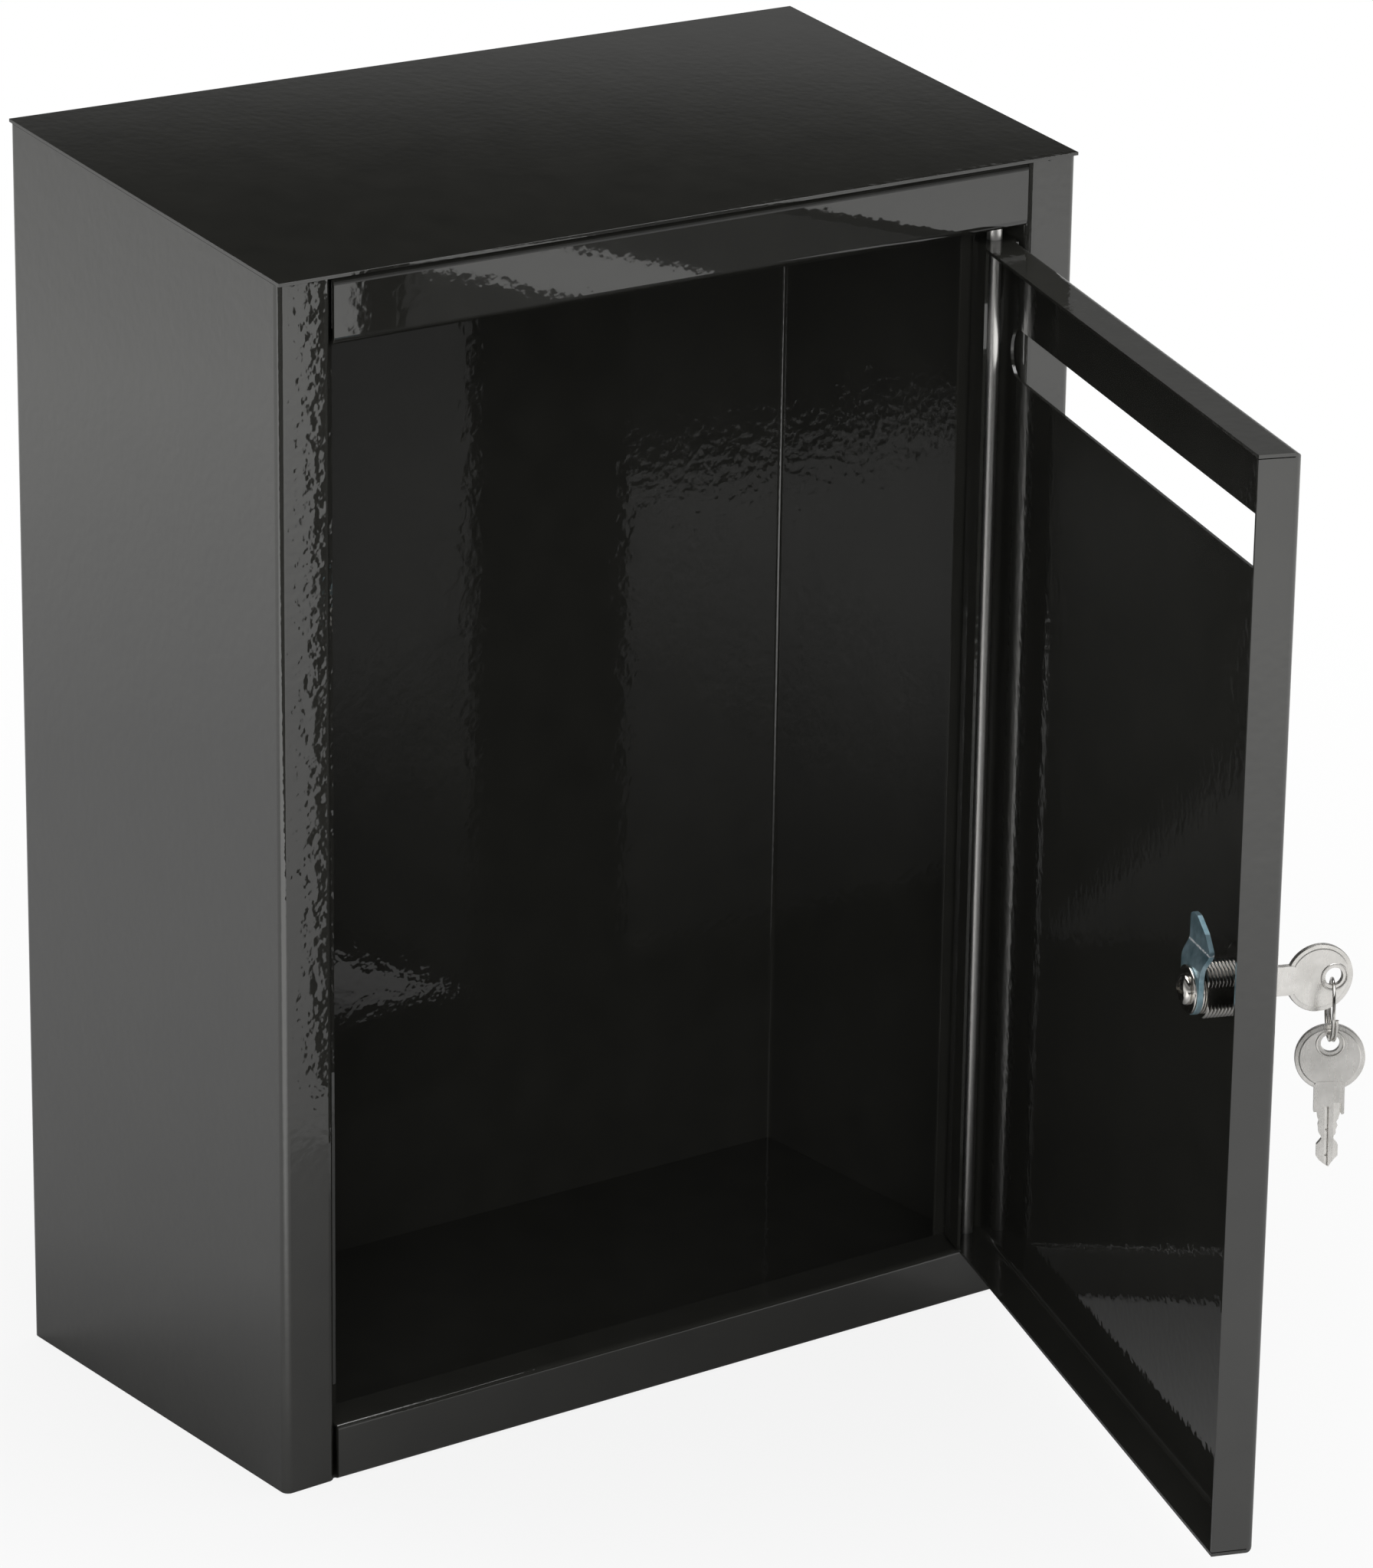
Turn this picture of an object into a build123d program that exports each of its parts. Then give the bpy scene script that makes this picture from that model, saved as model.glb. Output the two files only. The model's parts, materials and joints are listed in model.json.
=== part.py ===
"""Wall-hung suggestion box of folded sheet steel, shown with its door open and keys in the lock.

Millimetres, +Z up. The origin is the middle of the flat base, and the front faces -Y.
"""

from build123d import *
import math
import os

os.makedirs("parts", exist_ok=True)

# Cabinet
cabinet_width = 300.0
cabinet_depth = 150.0
front_height = 384.5
top_rise = 19.5
sheet = 1.0
bend_radius = 1.5
side_flange_width = 19.0
top_rail_height = 21.7
bottom_rail_height = 18.4
rail_end_gap = 1.2
stop_depth = 14.2
hinge_stop_width = 15.3
lock_stop_width = 9.0
top_overhang = 0.6
wall_hole_radius = 3.0
wall_hole_spacing = 150.0
wall_hole_drop = 60.0

# Door and its hinge
door_angle = 69.6
door_recess = 0.2
door_sheet = 1.0
door_flange_depth = 13.5
door_edge_gap = 2.0
hinge_edge_gap = 1.25
door_top_gap = 4.2
rod_radius = 2.5
rod_end = 3.0
rod_clearance = 0.05
door_bore_clearance = 0.1
washer_radius = 5.0
washer_thickness = 1.0
washer_clearance = 0.1
curl_lip_length = 12.0

# Letter slot in the door
slot_height = 16.3
slot_end_margin = 9.0
slot_drop = 35.5

# Lock
lock_inset = 21.9
lock_height = 191.8
bezel_radius = 11.0
bezel_height = 3.4
bezel_fillet = 1.0
housing_radius = 9.0
housing_flats = 16.4
housing_length = 16.5
door_hole_clearance = 0.15
nut_flats = 22.0
nut_thickness = 4.0
thread_clearance = 0.05
plug_radius = 6.0
plug_head_radius = 7.5
plug_head_height = 2.0
plug_clearance = 0.05
end_play = 0.1
tail_radius = 4.0
tail_flats = 6.0
tail_clearance = 0.05
tail_setback = 0.2
stop_washer_radius = 7.6
stop_washer_thickness = 1.2
cam_thickness = 1.5
cam_hub_radius = 7.6
cam_half_width = 7.7
cam_reach = 21.7
cam_nose_offset = 2.2
cam_flank_offset = 4.6
cam_flank_height = 18.2
cam_shoulder_reach = 9.6
cam_shoulder_height = 13.2
cam_waist_height = 5.4
cam_corner_radius = 2.4
cam_bend_start = 8.8
cam_bend_run = 4.3
cam_joggle = 2.4
screw_washer_radius = 7.3
screw_washer_thickness = 1.0
screw_head_radius = 4.65
screw_head_height = 2.3
screw_radius = 2.0
screw_length = 5.2
recess_width = 0.9
recess_span = 5.0
recess_depth = 1.2

# Tumblers inside the plug
wafer_count = 5
wafer_pitch = 2.3
wafer_first = 2.6
wafer_thickness = 1.0
wafer_width = 3.9
wafer_clearance = 0.05
wafer_ear_reach = 3.9
wafer_ear_bottom = 3.1
wafer_ear_top = 4.2
spring_radius = 0.45
spring_offset = 3.2
spring_length = 3.0
housing_groove_depth = 1.2
retainer_width = 3.0
retainer_thickness = 0.8
retainer_inner = 3.9
retainer_proud = 0.7
retainer_setback = 0.8

# Keys and split ring
bow_radius = 10.4
bow_thickness = 2.0
bow_hole_radius = 2.85
bow_hole_offset = 4.5
rim_radius = 3.9
rim_proud = 0.2
collar_start = 7.5
collar_end = 17.4
collar_half_width = 4.4
collar_thickness = 2.2
blade_end = 34.8
blade_half_width = 3.15
blade_thickness = 1.9
blade_tip_length = 3.4
blade_cut_depth = 0.9
blade_cut_half = 0.9
blade_groove_width = 1.0
blade_groove_depth = 0.4
keyway_clearance = 0.15
keyway_end_gap = 0.5
ring_radius = 9.1
ring_wire_radius = 0.5
ring_pitch = 1.45
ring_clearance = 1.0
ring_heading = 36.6
spare_tilt = 1.4

# Heights and depths that follow from the sizes above
front_y = -cabinet_depth / 2
back_y = cabinet_depth / 2
side_x = cabinet_width / 2
opening_x = side_x - side_flange_width
bend_mid = bend_radius + sheet / 2
back_height = front_height + top_rise
slope = top_rise / cabinet_depth
top_drop = sheet * math.sqrt(1 + slope ** 2)
rail_half = opening_x - rail_end_gap
top_rail_z = front_height - top_rail_height
pivot_x = opening_x - hinge_edge_gap - door_flange_depth / 2
pivot_y = front_y + door_recess + door_flange_depth / 2
door_bottom = bottom_rail_height + washer_thickness + washer_clearance
door_top = top_rail_z - door_top_gap
door_reach = pivot_x + opening_x - door_edge_gap
lock_reach = door_reach - lock_inset


def sheet_strip(points, plane, start, end, thickness, radius):
    """A folded strip of sheet: the middle line of its section, pushed from start to end."""
    with BuildPart(mode=Mode.PRIVATE) as strip:
        with BuildSketch(plane.offset(start)) as section:
            with BuildLine() as middle:
                FilletPolyline(*points, radius=radius)
            trace(line_width=thickness)
        extrude(amount=end - start)
    return strip.part


def top_line(y):
    """Height of the sloping top's upper face at a depth."""
    return front_height + (y - front_y) * slope


def side_corners():
    """Corners of the cabinet's side view under the top panel's sloping plate."""
    return [
        (front_y - 1, sheet),
        (back_y + 1, sheet),
        (back_y + 1, top_line(back_y + 1) - top_drop),
        (front_y - 1, top_line(front_y - 1) - top_drop),
    ]


# Body shell: back, sides, front flanges, their returns and the door stops, in one folded strip
wall_x = side_x - sheet / 2
return_x = opening_x + sheet / 2
front_mid_y = front_y + sheet / 2
stop_mid_y = front_y + stop_depth + sheet / 2
shell_points = [
    (-opening_x + lock_stop_width, stop_mid_y),
    (-return_x, stop_mid_y),
    (-return_x, front_mid_y),
    (-wall_x, front_mid_y),
    (-wall_x, back_y - sheet / 2),
    (wall_x, back_y - sheet / 2),
    (wall_x, front_mid_y),
    (return_x, front_mid_y),
    (return_x, stop_mid_y),
    (opening_x - hinge_stop_width, stop_mid_y),
]
wall_hole_z = back_height - wall_hole_drop
with BuildPart() as body_shell:
    add(sheet_strip(shell_points, Plane.XY, sheet, back_height, sheet, bend_mid))
    with BuildSketch(Plane.YZ) as side_view:
        with BuildLine() as side_outline:
            Polyline(*side_corners(), close=True)
        make_face()
    extrude(amount=side_x + 1, both=True, mode=Mode.INTERSECT)
    with BuildSketch(Plane.XZ.offset(-back_y - 1)) as wall_holes:
        with Locations((0, wall_hole_z)):
            with GridLocations(wall_hole_spacing, 0, 2, 1):
                Circle(wall_hole_radius)
    extrude(amount=sheet + 2, mode=Mode.SUBTRACT)
body_shell.part.label = "body_shell"
export_step(body_shell.part, "parts/body_shell.step")

# Top panel: the sloping lid plate, its front rail and the rail's return with the rod's hole
half_drop = top_drop / 2
top_rail_points = [
    (back_y, top_line(back_y) - half_drop),
    (front_mid_y, top_line(front_mid_y) - half_drop),
    (front_mid_y, top_rail_z + sheet / 2),
    (front_y + stop_depth, top_rail_z + sheet / 2),
]
rod_spot = (pivot_x, pivot_y)
with BuildPart() as top_panel:
    add(sheet_strip(top_rail_points, Plane.YZ, -rail_half, rail_half, sheet, bend_mid))
    with BuildSketch(Plane.YZ) as lid_section:
        with BuildLine() as lid_outline:
            Polyline(
                (front_y - top_overhang, top_line(front_y - top_overhang)),
                (back_y, top_line(back_y)),
                (back_y, top_line(back_y) - top_drop),
                (front_y - top_overhang, top_line(front_y - top_overhang) - top_drop),
                close=True,
            )
        make_face()
    extrude(amount=side_x, both=True)
    with BuildSketch(Plane.XY.offset(top_rail_z - 1)) as top_rod_hole:
        with Locations(rod_spot):
            Circle(rod_radius + rod_clearance)
    extrude(amount=sheet + 2, mode=Mode.SUBTRACT)
top_panel.part.label = "top_panel"
export_step(top_panel.part, "parts/top_panel.step")

# Bottom panel: the floor plate, its front rail and the rail's return with the rod's hole
bottom_rail_points = [
    (back_y - sheet, sheet / 2),
    (front_mid_y, sheet / 2),
    (front_mid_y, bottom_rail_height - sheet / 2),
    (front_y + stop_depth, bottom_rail_height - sheet / 2),
]
with BuildPart() as bottom_panel:
    add(sheet_strip(bottom_rail_points, Plane.YZ, -rail_half, rail_half, sheet, bend_mid))
    with BuildSketch() as floor_plate:
        with Locations((0, sheet / 2)):
            RectangleRounded(cabinet_width, cabinet_depth - sheet, bend_radius + sheet)
        with Locations((0, front_y + bend_mid + sheet)):
            Rectangle(cabinet_width, 2 * bend_mid)
    extrude(amount=sheet)
    with BuildSketch(Plane.XY.offset(bottom_rail_height - sheet - 1)) as bottom_rod_hole:
        with Locations(rod_spot):
            Circle(rod_radius + rod_clearance)
    extrude(amount=sheet + 2, mode=Mode.SUBTRACT)
bottom_panel.part.label = "bottom_panel"
export_step(bottom_panel.part, "parts/bottom_panel.step")

# Hinge rod through both rails, and the washer that carries the door on the lower one
rod_bottom = bottom_rail_height - sheet - rod_end
with BuildPart() as hinge_rod:
    with BuildSketch(Plane.XY.offset(rod_bottom)) as rod_section:
        with Locations(rod_spot):
            Circle(rod_radius)
    extrude(amount=top_rail_z + sheet + rod_end - rod_bottom)
hinge_rod.part.label = "hinge_rod"
export_step(hinge_rod.part, "parts/hinge_rod.step")

with BuildPart() as hinge_washer:
    with BuildSketch(Plane.XY.offset(bottom_rail_height)) as washer_section:
        with Locations(rod_spot):
            Circle(washer_radius)
            Circle(rod_radius + rod_clearance, mode=Mode.SUBTRACT)
    extrude(amount=washer_thickness)
hinge_washer.part.label = "hinge_washer"
export_step(hinge_washer.part, "parts/hinge_washer.step")

# The door stands at its angle: along runs from the hinge rod to the free edge, inward into the cabinet
turn = math.radians(door_angle)
along = Vector(-math.cos(turn), -math.sin(turn), 0)
inward = Vector(-math.sin(turn), math.cos(turn), 0)
pivot = Vector(pivot_x, pivot_y, 0)
face_base = pivot - inward * (door_flange_depth / 2)
door_plan = Plane(origin=face_base, x_dir=along, z_dir=(0, 0, -1))
door_face = Plane(origin=face_base, x_dir=along, z_dir=inward)
curl_radius = door_flange_depth / 2
curl_mid = curl_radius - door_sheet / 2
far_mid = door_flange_depth - door_sheet / 2
edge_mid = door_reach - door_sheet / 2
slot_start = slot_end_margin - curl_radius
slot_length = door_reach + curl_radius - 2 * slot_end_margin
slot_mid = slot_start + slot_length / 2
slot_z = door_top - slot_drop
lock_spot = (lock_reach, lock_height)
with BuildPart() as door_pan:
    with BuildSketch(door_plan.offset(-door_top)) as door_section:
        with BuildLine() as door_line:
            curl_lip = Line((curl_lip_length, far_mid), (0, far_mid))
            curl = ThreePointArc((0, far_mid), (-curl_mid, curl_radius), (0, door_sheet / 2))
            folds = FilletPolyline(
                (0, door_sheet / 2),
                (edge_mid, door_sheet / 2),
                (edge_mid, door_flange_depth),
                radius=bend_radius + door_sheet / 2,
            )
        trace(line_width=door_sheet)
    extrude(amount=door_top - door_bottom)
    with BuildSketch(door_plan.offset(-door_top), door_plan.offset(-door_bottom - door_sheet)) as ends:
        with Locations((door_reach / 2, curl_radius)):
            Rectangle(door_reach, door_flange_depth)
        with Locations((0, curl_radius)):
            Circle(curl_radius)
        with Locations((door_reach, 0)):
            Rectangle(2 * (bend_radius + door_sheet), 2 * (bend_radius + door_sheet), mode=Mode.SUBTRACT)
        with Locations((door_reach - bend_radius - door_sheet, bend_radius + door_sheet)):
            Circle(bend_radius + door_sheet)
        with Locations((0, curl_radius)):
            Circle(rod_radius + door_bore_clearance, mode=Mode.SUBTRACT)
    extrude(amount=door_sheet)
    with BuildSketch(door_face.offset(-1)) as door_cuts:
        with Locations((slot_mid, slot_z)):
            SlotOverall(slot_length, slot_height)
        with Locations(lock_spot):
            Circle(housing_radius + door_hole_clearance)
    extrude(amount=door_sheet + 2, mode=Mode.SUBTRACT)
    with BuildSketch(door_face) as lock_flats:
        with Locations((lock_reach + housing_flats / 2 + housing_radius / 2 + door_hole_clearance, lock_height)):
            Rectangle(housing_radius, 2 * housing_radius)
        with Locations((lock_reach - housing_flats / 2 - housing_radius / 2 - door_hole_clearance, lock_height)):
            Rectangle(housing_radius, 2 * housing_radius)
    extrude(amount=door_sheet)
door_pan.part.label = "door_pan"
export_step(door_pan.part, "parts/door_pan.step")

# Lock plane: its centre is on the door's outer face, x towards the free edge, y up, z inward
lock_face = Plane(origin=door_face.from_local_coords((lock_reach, lock_height, 0)), x_dir=along, z_dir=inward)
plug_end = housing_length + end_play
key_seat = -bezel_height - end_play
key_blade = blade_end - collar_end
bow_depth = key_seat - collar_end
hole_depth = bow_depth - bow_hole_offset
keyway_end = key_seat + key_blade + keyway_end_gap
bore_radius = plug_radius + plug_clearance
wafer_last = wafer_first + (wafer_count - 1) * wafer_pitch + wafer_thickness
retainer_end = housing_length - retainer_setback
retainer_start = retainer_end - retainer_thickness

with BuildPart() as lock_housing:
    with BuildSketch(lock_face.offset(-bezel_height)) as bezel:
        Circle(bezel_radius)
    extrude(amount=bezel_height)
    fillet(lock_housing.faces().sort_by(Axis(lock_face.origin, inward))[0].edges(), radius=bezel_fillet)
    with BuildSketch(lock_face) as threaded_body:
        Circle(housing_radius)
        Rectangle(housing_flats, 2 * housing_radius, mode=Mode.INTERSECT)
    extrude(amount=housing_length)
    with BuildSketch(lock_face.offset(-bezel_height)) as plug_bore:
        Circle(bore_radius)
    extrude(amount=bezel_height + housing_length, mode=Mode.SUBTRACT)
    with BuildSketch(lock_face.offset(-bezel_height)) as head_recess:
        Circle(plug_head_radius + plug_clearance)
    extrude(amount=plug_head_height, mode=Mode.SUBTRACT)
    with BuildSketch(lock_face.offset(wafer_first - wafer_thickness)) as wafer_groove:
        Rectangle(wafer_width + 2 * wafer_clearance, 2 * (bore_radius + housing_groove_depth))
    extrude(amount=wafer_last - wafer_first + 2 * wafer_thickness, mode=Mode.SUBTRACT)
    with BuildSketch(lock_face.offset(retainer_start - wafer_clearance)) as retainer_groove:
        Circle(math.hypot(plug_radius + retainer_proud, retainer_width / 2) + wafer_clearance)
    extrude(amount=retainer_thickness + 2 * wafer_clearance, mode=Mode.SUBTRACT)
lock_housing.part.label = "lock_housing"
export_step(lock_housing.part, "parts/lock_housing.step")

with BuildPart() as lock_nut:
    with BuildSketch(lock_face.offset(door_sheet)) as nut_section:
        RegularPolygon(nut_flats / 2, 6, major_radius=False)
        Circle(housing_radius + thread_clearance, mode=Mode.SUBTRACT)
    extrude(amount=nut_thickness)
lock_nut.part.label = "lock_nut"
export_step(lock_nut.part, "parts/lock_nut.step")

# Plug with its keyway, wafer slots, tail and tapped hole
wafer_starts = [wafer_first + i * wafer_pitch for i in range(wafer_count)]
tapped_start = plug_end + stop_washer_thickness + cam_thickness + screw_washer_thickness - screw_length
tail_end = plug_end + stop_washer_thickness + cam_thickness - tail_setback
with BuildPart() as lock_plug:
    with BuildSketch(lock_face.offset(-bezel_height)) as plug_head:
        Circle(plug_head_radius)
    extrude(amount=plug_head_height - end_play)
    with BuildSketch(lock_face.offset(-bezel_height)) as plug_body:
        Circle(plug_radius)
    extrude(amount=bezel_height + plug_end)
    with BuildSketch(lock_face.offset(plug_end)) as plug_tail:
        Circle(tail_radius)
        Rectangle(tail_flats, 2 * tail_radius, mode=Mode.INTERSECT)
    extrude(amount=tail_end - plug_end)
    with BuildSketch(lock_face.offset(-bezel_height)) as keyway:
        Rectangle(blade_thickness + 2 * keyway_clearance, 2 * (blade_half_width + keyway_clearance))
    extrude(amount=bezel_height + keyway_end, mode=Mode.SUBTRACT)
    for start in wafer_starts:
        with BuildSketch(lock_face.offset(start - wafer_clearance)) as wafer_slot:
            Rectangle(wafer_width + 2 * wafer_clearance, 2 * plug_head_radius)
            with Locations(((wafer_ear_reach + wafer_clearance) / 2, (wafer_ear_bottom + plug_radius) / 2)):
                Rectangle(wafer_ear_reach + wafer_clearance, plug_radius - wafer_ear_bottom)
        extrude(amount=wafer_thickness + 2 * wafer_clearance, mode=Mode.SUBTRACT)
        with Locations(lock_face.offset(start + wafer_thickness / 2) * Pos(spring_offset, 0, 0) * Rot(-90, 0, 0)):
            Cylinder(
                spring_radius + wafer_clearance,
                wafer_ear_bottom,
                align=(Align.CENTER, Align.CENTER, Align.MIN),
                mode=Mode.SUBTRACT,
            )
    with BuildSketch(lock_face.offset(retainer_start - wafer_clearance)) as retainer_slot:
        with Locations((0, -(retainer_inner + plug_radius) / 2)):
            Rectangle(retainer_width + 2 * wafer_clearance, plug_radius - retainer_inner + 2 * wafer_clearance)
    extrude(amount=retainer_thickness + 2 * wafer_clearance, mode=Mode.SUBTRACT)
    with BuildSketch(lock_face.offset(tapped_start - end_play)) as tapped_hole:
        Circle(screw_radius + thread_clearance)
    extrude(amount=tail_end - tapped_start + 2 * end_play, mode=Mode.SUBTRACT)
lock_plug.part.label = "lock_plug"
export_step(lock_plug.part, "parts/lock_plug.step")

# Wafer tumblers with their ears, one per slot, and the springs under the ears
wafer_half_height = math.sqrt(plug_radius ** 2 - (wafer_width / 2) ** 2) - wafer_clearance
with BuildPart() as wafer_tumblers:
    for start in wafer_starts:
        with BuildSketch(lock_face.offset(start)) as wafer_section:
            Rectangle(wafer_width, 2 * wafer_half_height)
            with Locations((wafer_ear_reach / 2, (wafer_ear_bottom + wafer_ear_top) / 2)):
                Rectangle(wafer_ear_reach, wafer_ear_top - wafer_ear_bottom)
            Rectangle(
                blade_thickness + 4 * keyway_clearance,
                2 * (blade_half_width + keyway_clearance),
                mode=Mode.SUBTRACT,
            )
        extrude(amount=wafer_thickness)
wafer_tumblers.part.label = "wafer_tumblers"
export_step(wafer_tumblers.part, "parts/wafer_tumblers.step")

with BuildPart() as wafer_springs:
    for start in wafer_starts:
        with Locations(lock_face.offset(start + wafer_thickness / 2) * Pos(spring_offset, 0, 0) * Rot(-90, 0, 0)):
            with Locations((0, 0, wafer_ear_bottom - spring_length)):
                Cylinder(spring_radius, spring_length, align=(Align.CENTER, Align.CENTER, Align.MIN))
wafer_springs.part.label = "wafer_springs"
export_step(wafer_springs.part, "parts/wafer_springs.step")

with BuildPart() as plug_retainer:
    with BuildSketch(lock_face.offset(retainer_start)) as retainer_section:
        with Locations((0, -(retainer_inner + plug_radius + retainer_proud) / 2)):
            Rectangle(retainer_width, plug_radius + retainer_proud - retainer_inner)
    extrude(amount=retainer_thickness)
plug_retainer.part.label = "plug_retainer"
export_step(plug_retainer.part, "parts/plug_retainer.step")

# Cam stack on the plug's tail: stop washer, joggled cam, lock washer and screw
with BuildPart() as cam_stop_washer:
    with BuildSketch(lock_face.offset(plug_end)) as stop_washer_section:
        Circle(stop_washer_radius)
        with BuildSketch(mode=Mode.PRIVATE) as stop_hole:
            Circle(tail_radius + tail_clearance)
            Rectangle(tail_flats + 2 * tail_clearance, 3 * tail_radius, mode=Mode.INTERSECT)
        add(stop_hole.sketch, mode=Mode.SUBTRACT)
    extrude(amount=stop_washer_thickness)
cam_stop_washer.part.label = "cam_stop_washer"
export_step(cam_stop_washer.part, "parts/cam_stop_washer.step")

cam_start = plug_end + stop_washer_thickness
cam_face = Plane(origin=lock_face.origin + inward * cam_start, x_dir=along, z_dir=inward)
cam_side = Plane(origin=cam_face.origin, x_dir=cam_face.y_dir, z_dir=along)
cam_tip_bend = cam_bend_start + cam_bend_run
cam_width = cam_half_width + cam_shoulder_reach
cam_points = [
    (-cam_hub_radius - 1, cam_thickness / 2),
    (cam_bend_start, cam_thickness / 2),
    (cam_tip_bend, cam_thickness / 2 - cam_joggle),
    (cam_reach + 1, cam_thickness / 2 - cam_joggle),
]
with BuildPart() as cam:
    add(sheet_strip(cam_points, cam_side, -cam_width, cam_width, cam_thickness, cam_thickness))
    with BuildSketch(cam_face.offset(-cam_joggle - 1)) as cam_outline:
        Circle(cam_hub_radius)
        with BuildLine() as cam_edge:
            FilletPolyline(
                (-cam_hub_radius, 0),
                (-cam_half_width, cam_reach),
                (-cam_nose_offset, cam_reach),
                (cam_flank_offset, cam_flank_height),
                (cam_shoulder_reach, cam_shoulder_height),
                (cam_hub_radius, cam_waist_height),
                (cam_hub_radius, 0),
                radius=cam_corner_radius,
                close=True,
            )
        make_face()
    extrude(amount=cam_joggle + cam_thickness + 2, mode=Mode.INTERSECT)
    with BuildSketch(lock_face.offset(cam_start - 1)) as cam_hole:
        Circle(tail_radius + tail_clearance)
        Rectangle(tail_flats + 2 * tail_clearance, 3 * tail_radius, mode=Mode.INTERSECT)
    extrude(amount=cam_thickness + 2, mode=Mode.SUBTRACT)
cam.part.label = "cam"
export_step(cam.part, "parts/cam.step")

screw_washer_start = cam_start + cam_thickness
with BuildPart() as cam_lock_washer:
    with BuildSketch(lock_face.offset(screw_washer_start)) as screw_washer_section:
        Circle(screw_washer_radius)
        Circle(screw_radius + thread_clearance, mode=Mode.SUBTRACT)
    extrude(amount=screw_washer_thickness)
cam_lock_washer.part.label = "cam_lock_washer"
export_step(cam_lock_washer.part, "parts/cam_lock_washer.step")

screw_seat = screw_washer_start + screw_washer_thickness
with BuildPart() as cam_screw:
    with BuildSketch(lock_face.offset(screw_seat - screw_length)) as screw_shank:
        Circle(screw_radius)
    extrude(amount=screw_length)
    with BuildSketch(Plane(origin=lock_face.origin, x_dir=along, z_dir=along.cross(inward))) as head_half:
        with BuildLine() as head_line:
            Polyline(
                (0, screw_seat + screw_head_height),
                (0, screw_seat),
                (screw_head_radius, screw_seat),
                (screw_head_radius, screw_seat + screw_head_height / 3),
            )
            ThreePointArc(
                (screw_head_radius, screw_seat + screw_head_height / 3),
                (0.75 * screw_head_radius, screw_seat + 0.8 * screw_head_height),
                (0, screw_seat + screw_head_height),
            )
        make_face()
    revolve(axis=Axis(lock_face.origin, inward))
    with BuildSketch(lock_face.offset(screw_seat + screw_head_height - recess_depth)) as cross_recess:
        Rectangle(recess_width, recess_span)
        Rectangle(recess_span, recess_width)
    extrude(amount=recess_depth + 1, mode=Mode.SUBTRACT)
cam_screw.part.label = "cam_screw"
export_step(cam_screw.part, "parts/cam_screw.step")


def key_solid(plane):
    """One key: x runs from the bow's centre to the tip, z across its thickness."""
    tip_shoulder = blade_end - blade_tip_length
    blade_length = tip_shoulder - collar_end
    cut_places = [collar_end + blade_length * share for share in (0.2, 0.55)]
    with BuildPart(mode=Mode.PRIVATE) as piece:
        with BuildSketch(plane.offset(-bow_thickness / 2)) as bow:
            Circle(bow_radius)
        extrude(amount=bow_thickness)
        with BuildSketch(plane.offset(-bow_thickness / 2 - rim_proud)) as rim:
            with Locations((-bow_hole_offset, 0)):
                Circle(rim_radius)
        extrude(amount=bow_thickness + 2 * rim_proud)
        with BuildSketch(plane.offset(-collar_thickness / 2)) as collar:
            with Locations(((collar_start + collar_end) / 2, 0)):
                Rectangle(collar_end - collar_start, 2 * collar_half_width)
        extrude(amount=collar_thickness)
        with BuildSketch(plane.offset(-blade_thickness / 2)) as blade:
            with BuildLine() as blade_outline:
                Polyline(
                    (collar_end - 1, blade_half_width),
                    (tip_shoulder, blade_half_width),
                    (blade_end, 0),
                    (tip_shoulder, -blade_half_width),
                    (collar_end - 1, -blade_half_width),
                    close=True,
                )
            make_face()
            for place in cut_places:
                for side in (-1, 1):
                    with BuildLine() as cut_outline:
                        Polyline(
                            (place - 2 * blade_cut_half, side * (blade_half_width + 0.1)),
                            (place - blade_cut_half, side * (blade_half_width - blade_cut_depth)),
                            (place + blade_cut_half, side * (blade_half_width - blade_cut_depth)),
                            (place + 2 * blade_cut_half, side * (blade_half_width + 0.1)),
                            close=True,
                        )
                    make_face(mode=Mode.SUBTRACT)
        extrude(amount=blade_thickness)
        with BuildSketch(plane.offset(blade_thickness / 2 - blade_groove_depth)) as blade_groove:
            with Locations(((collar_end + blade_end) / 2, 0)):
                Rectangle(blade_end - collar_end, blade_groove_width)
        extrude(amount=blade_groove_depth + 1, mode=Mode.SUBTRACT)
        with BuildSketch(plane.offset(-bow_thickness)) as ring_hole:
            with Locations((-bow_hole_offset, 0)):
                Circle(bow_hole_radius)
        extrude(amount=2 * bow_thickness, mode=Mode.SUBTRACT)
    return piece.part


def biarc(start, start_heading, end, end_heading):
    """Two tangent arcs from start to end, as the open builder line's next edges."""
    chord = end - start
    both = start_heading + end_heading
    a = 4 - both.dot(both)
    b = 2 * chord.dot(both)
    c = -chord.dot(chord)
    reach = (-b + math.sqrt(b * b - 4 * a * c)) / (2 * a)
    middle = (start + start_heading * reach + end - end_heading * reach) * 0.5
    TangentArc(start, middle, tangent=start_heading)
    TangentArc(end, middle, tangent=-end_heading)


# Working key: its blade lies along the lock's axis, with its flat side facing the free edge
key_plane = Plane(origin=lock_face.origin + inward * bow_depth, x_dir=inward, z_dir=along)
with BuildPart() as key:
    add(key_solid(key_plane))
key.part.label = "key"
export_step(key.part, "parts/key.step")

# Split ring of one and a half turns, single where it passes through the working key
facing = math.radians(ring_heading)
ring_along = Vector(-math.sin(facing), -math.cos(facing), 0)
ring_across = Vector(math.cos(facing), -math.sin(facing), 0)
up = Vector(0, 0, 1)
ring_top = lock_height - bow_hole_radius + ring_clearance + ring_wire_radius
hole_centre = lock_face.origin + inward * hole_depth
ring_centre = Vector(hole_centre.X, hole_centre.Y, ring_top - ring_radius)
quarter_turns = 6
ring_start = math.pi


def ring_point(quarters):
    """A point on the ring's wire after a number of quarter turns."""
    angle = ring_start + quarters * math.pi / 2
    rise = ring_pitch * (quarters - quarter_turns / 2) / 4
    radial = ring_along * math.cos(angle) + up * math.sin(angle)
    return ring_centre + radial * ring_radius + ring_across * rise


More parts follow.
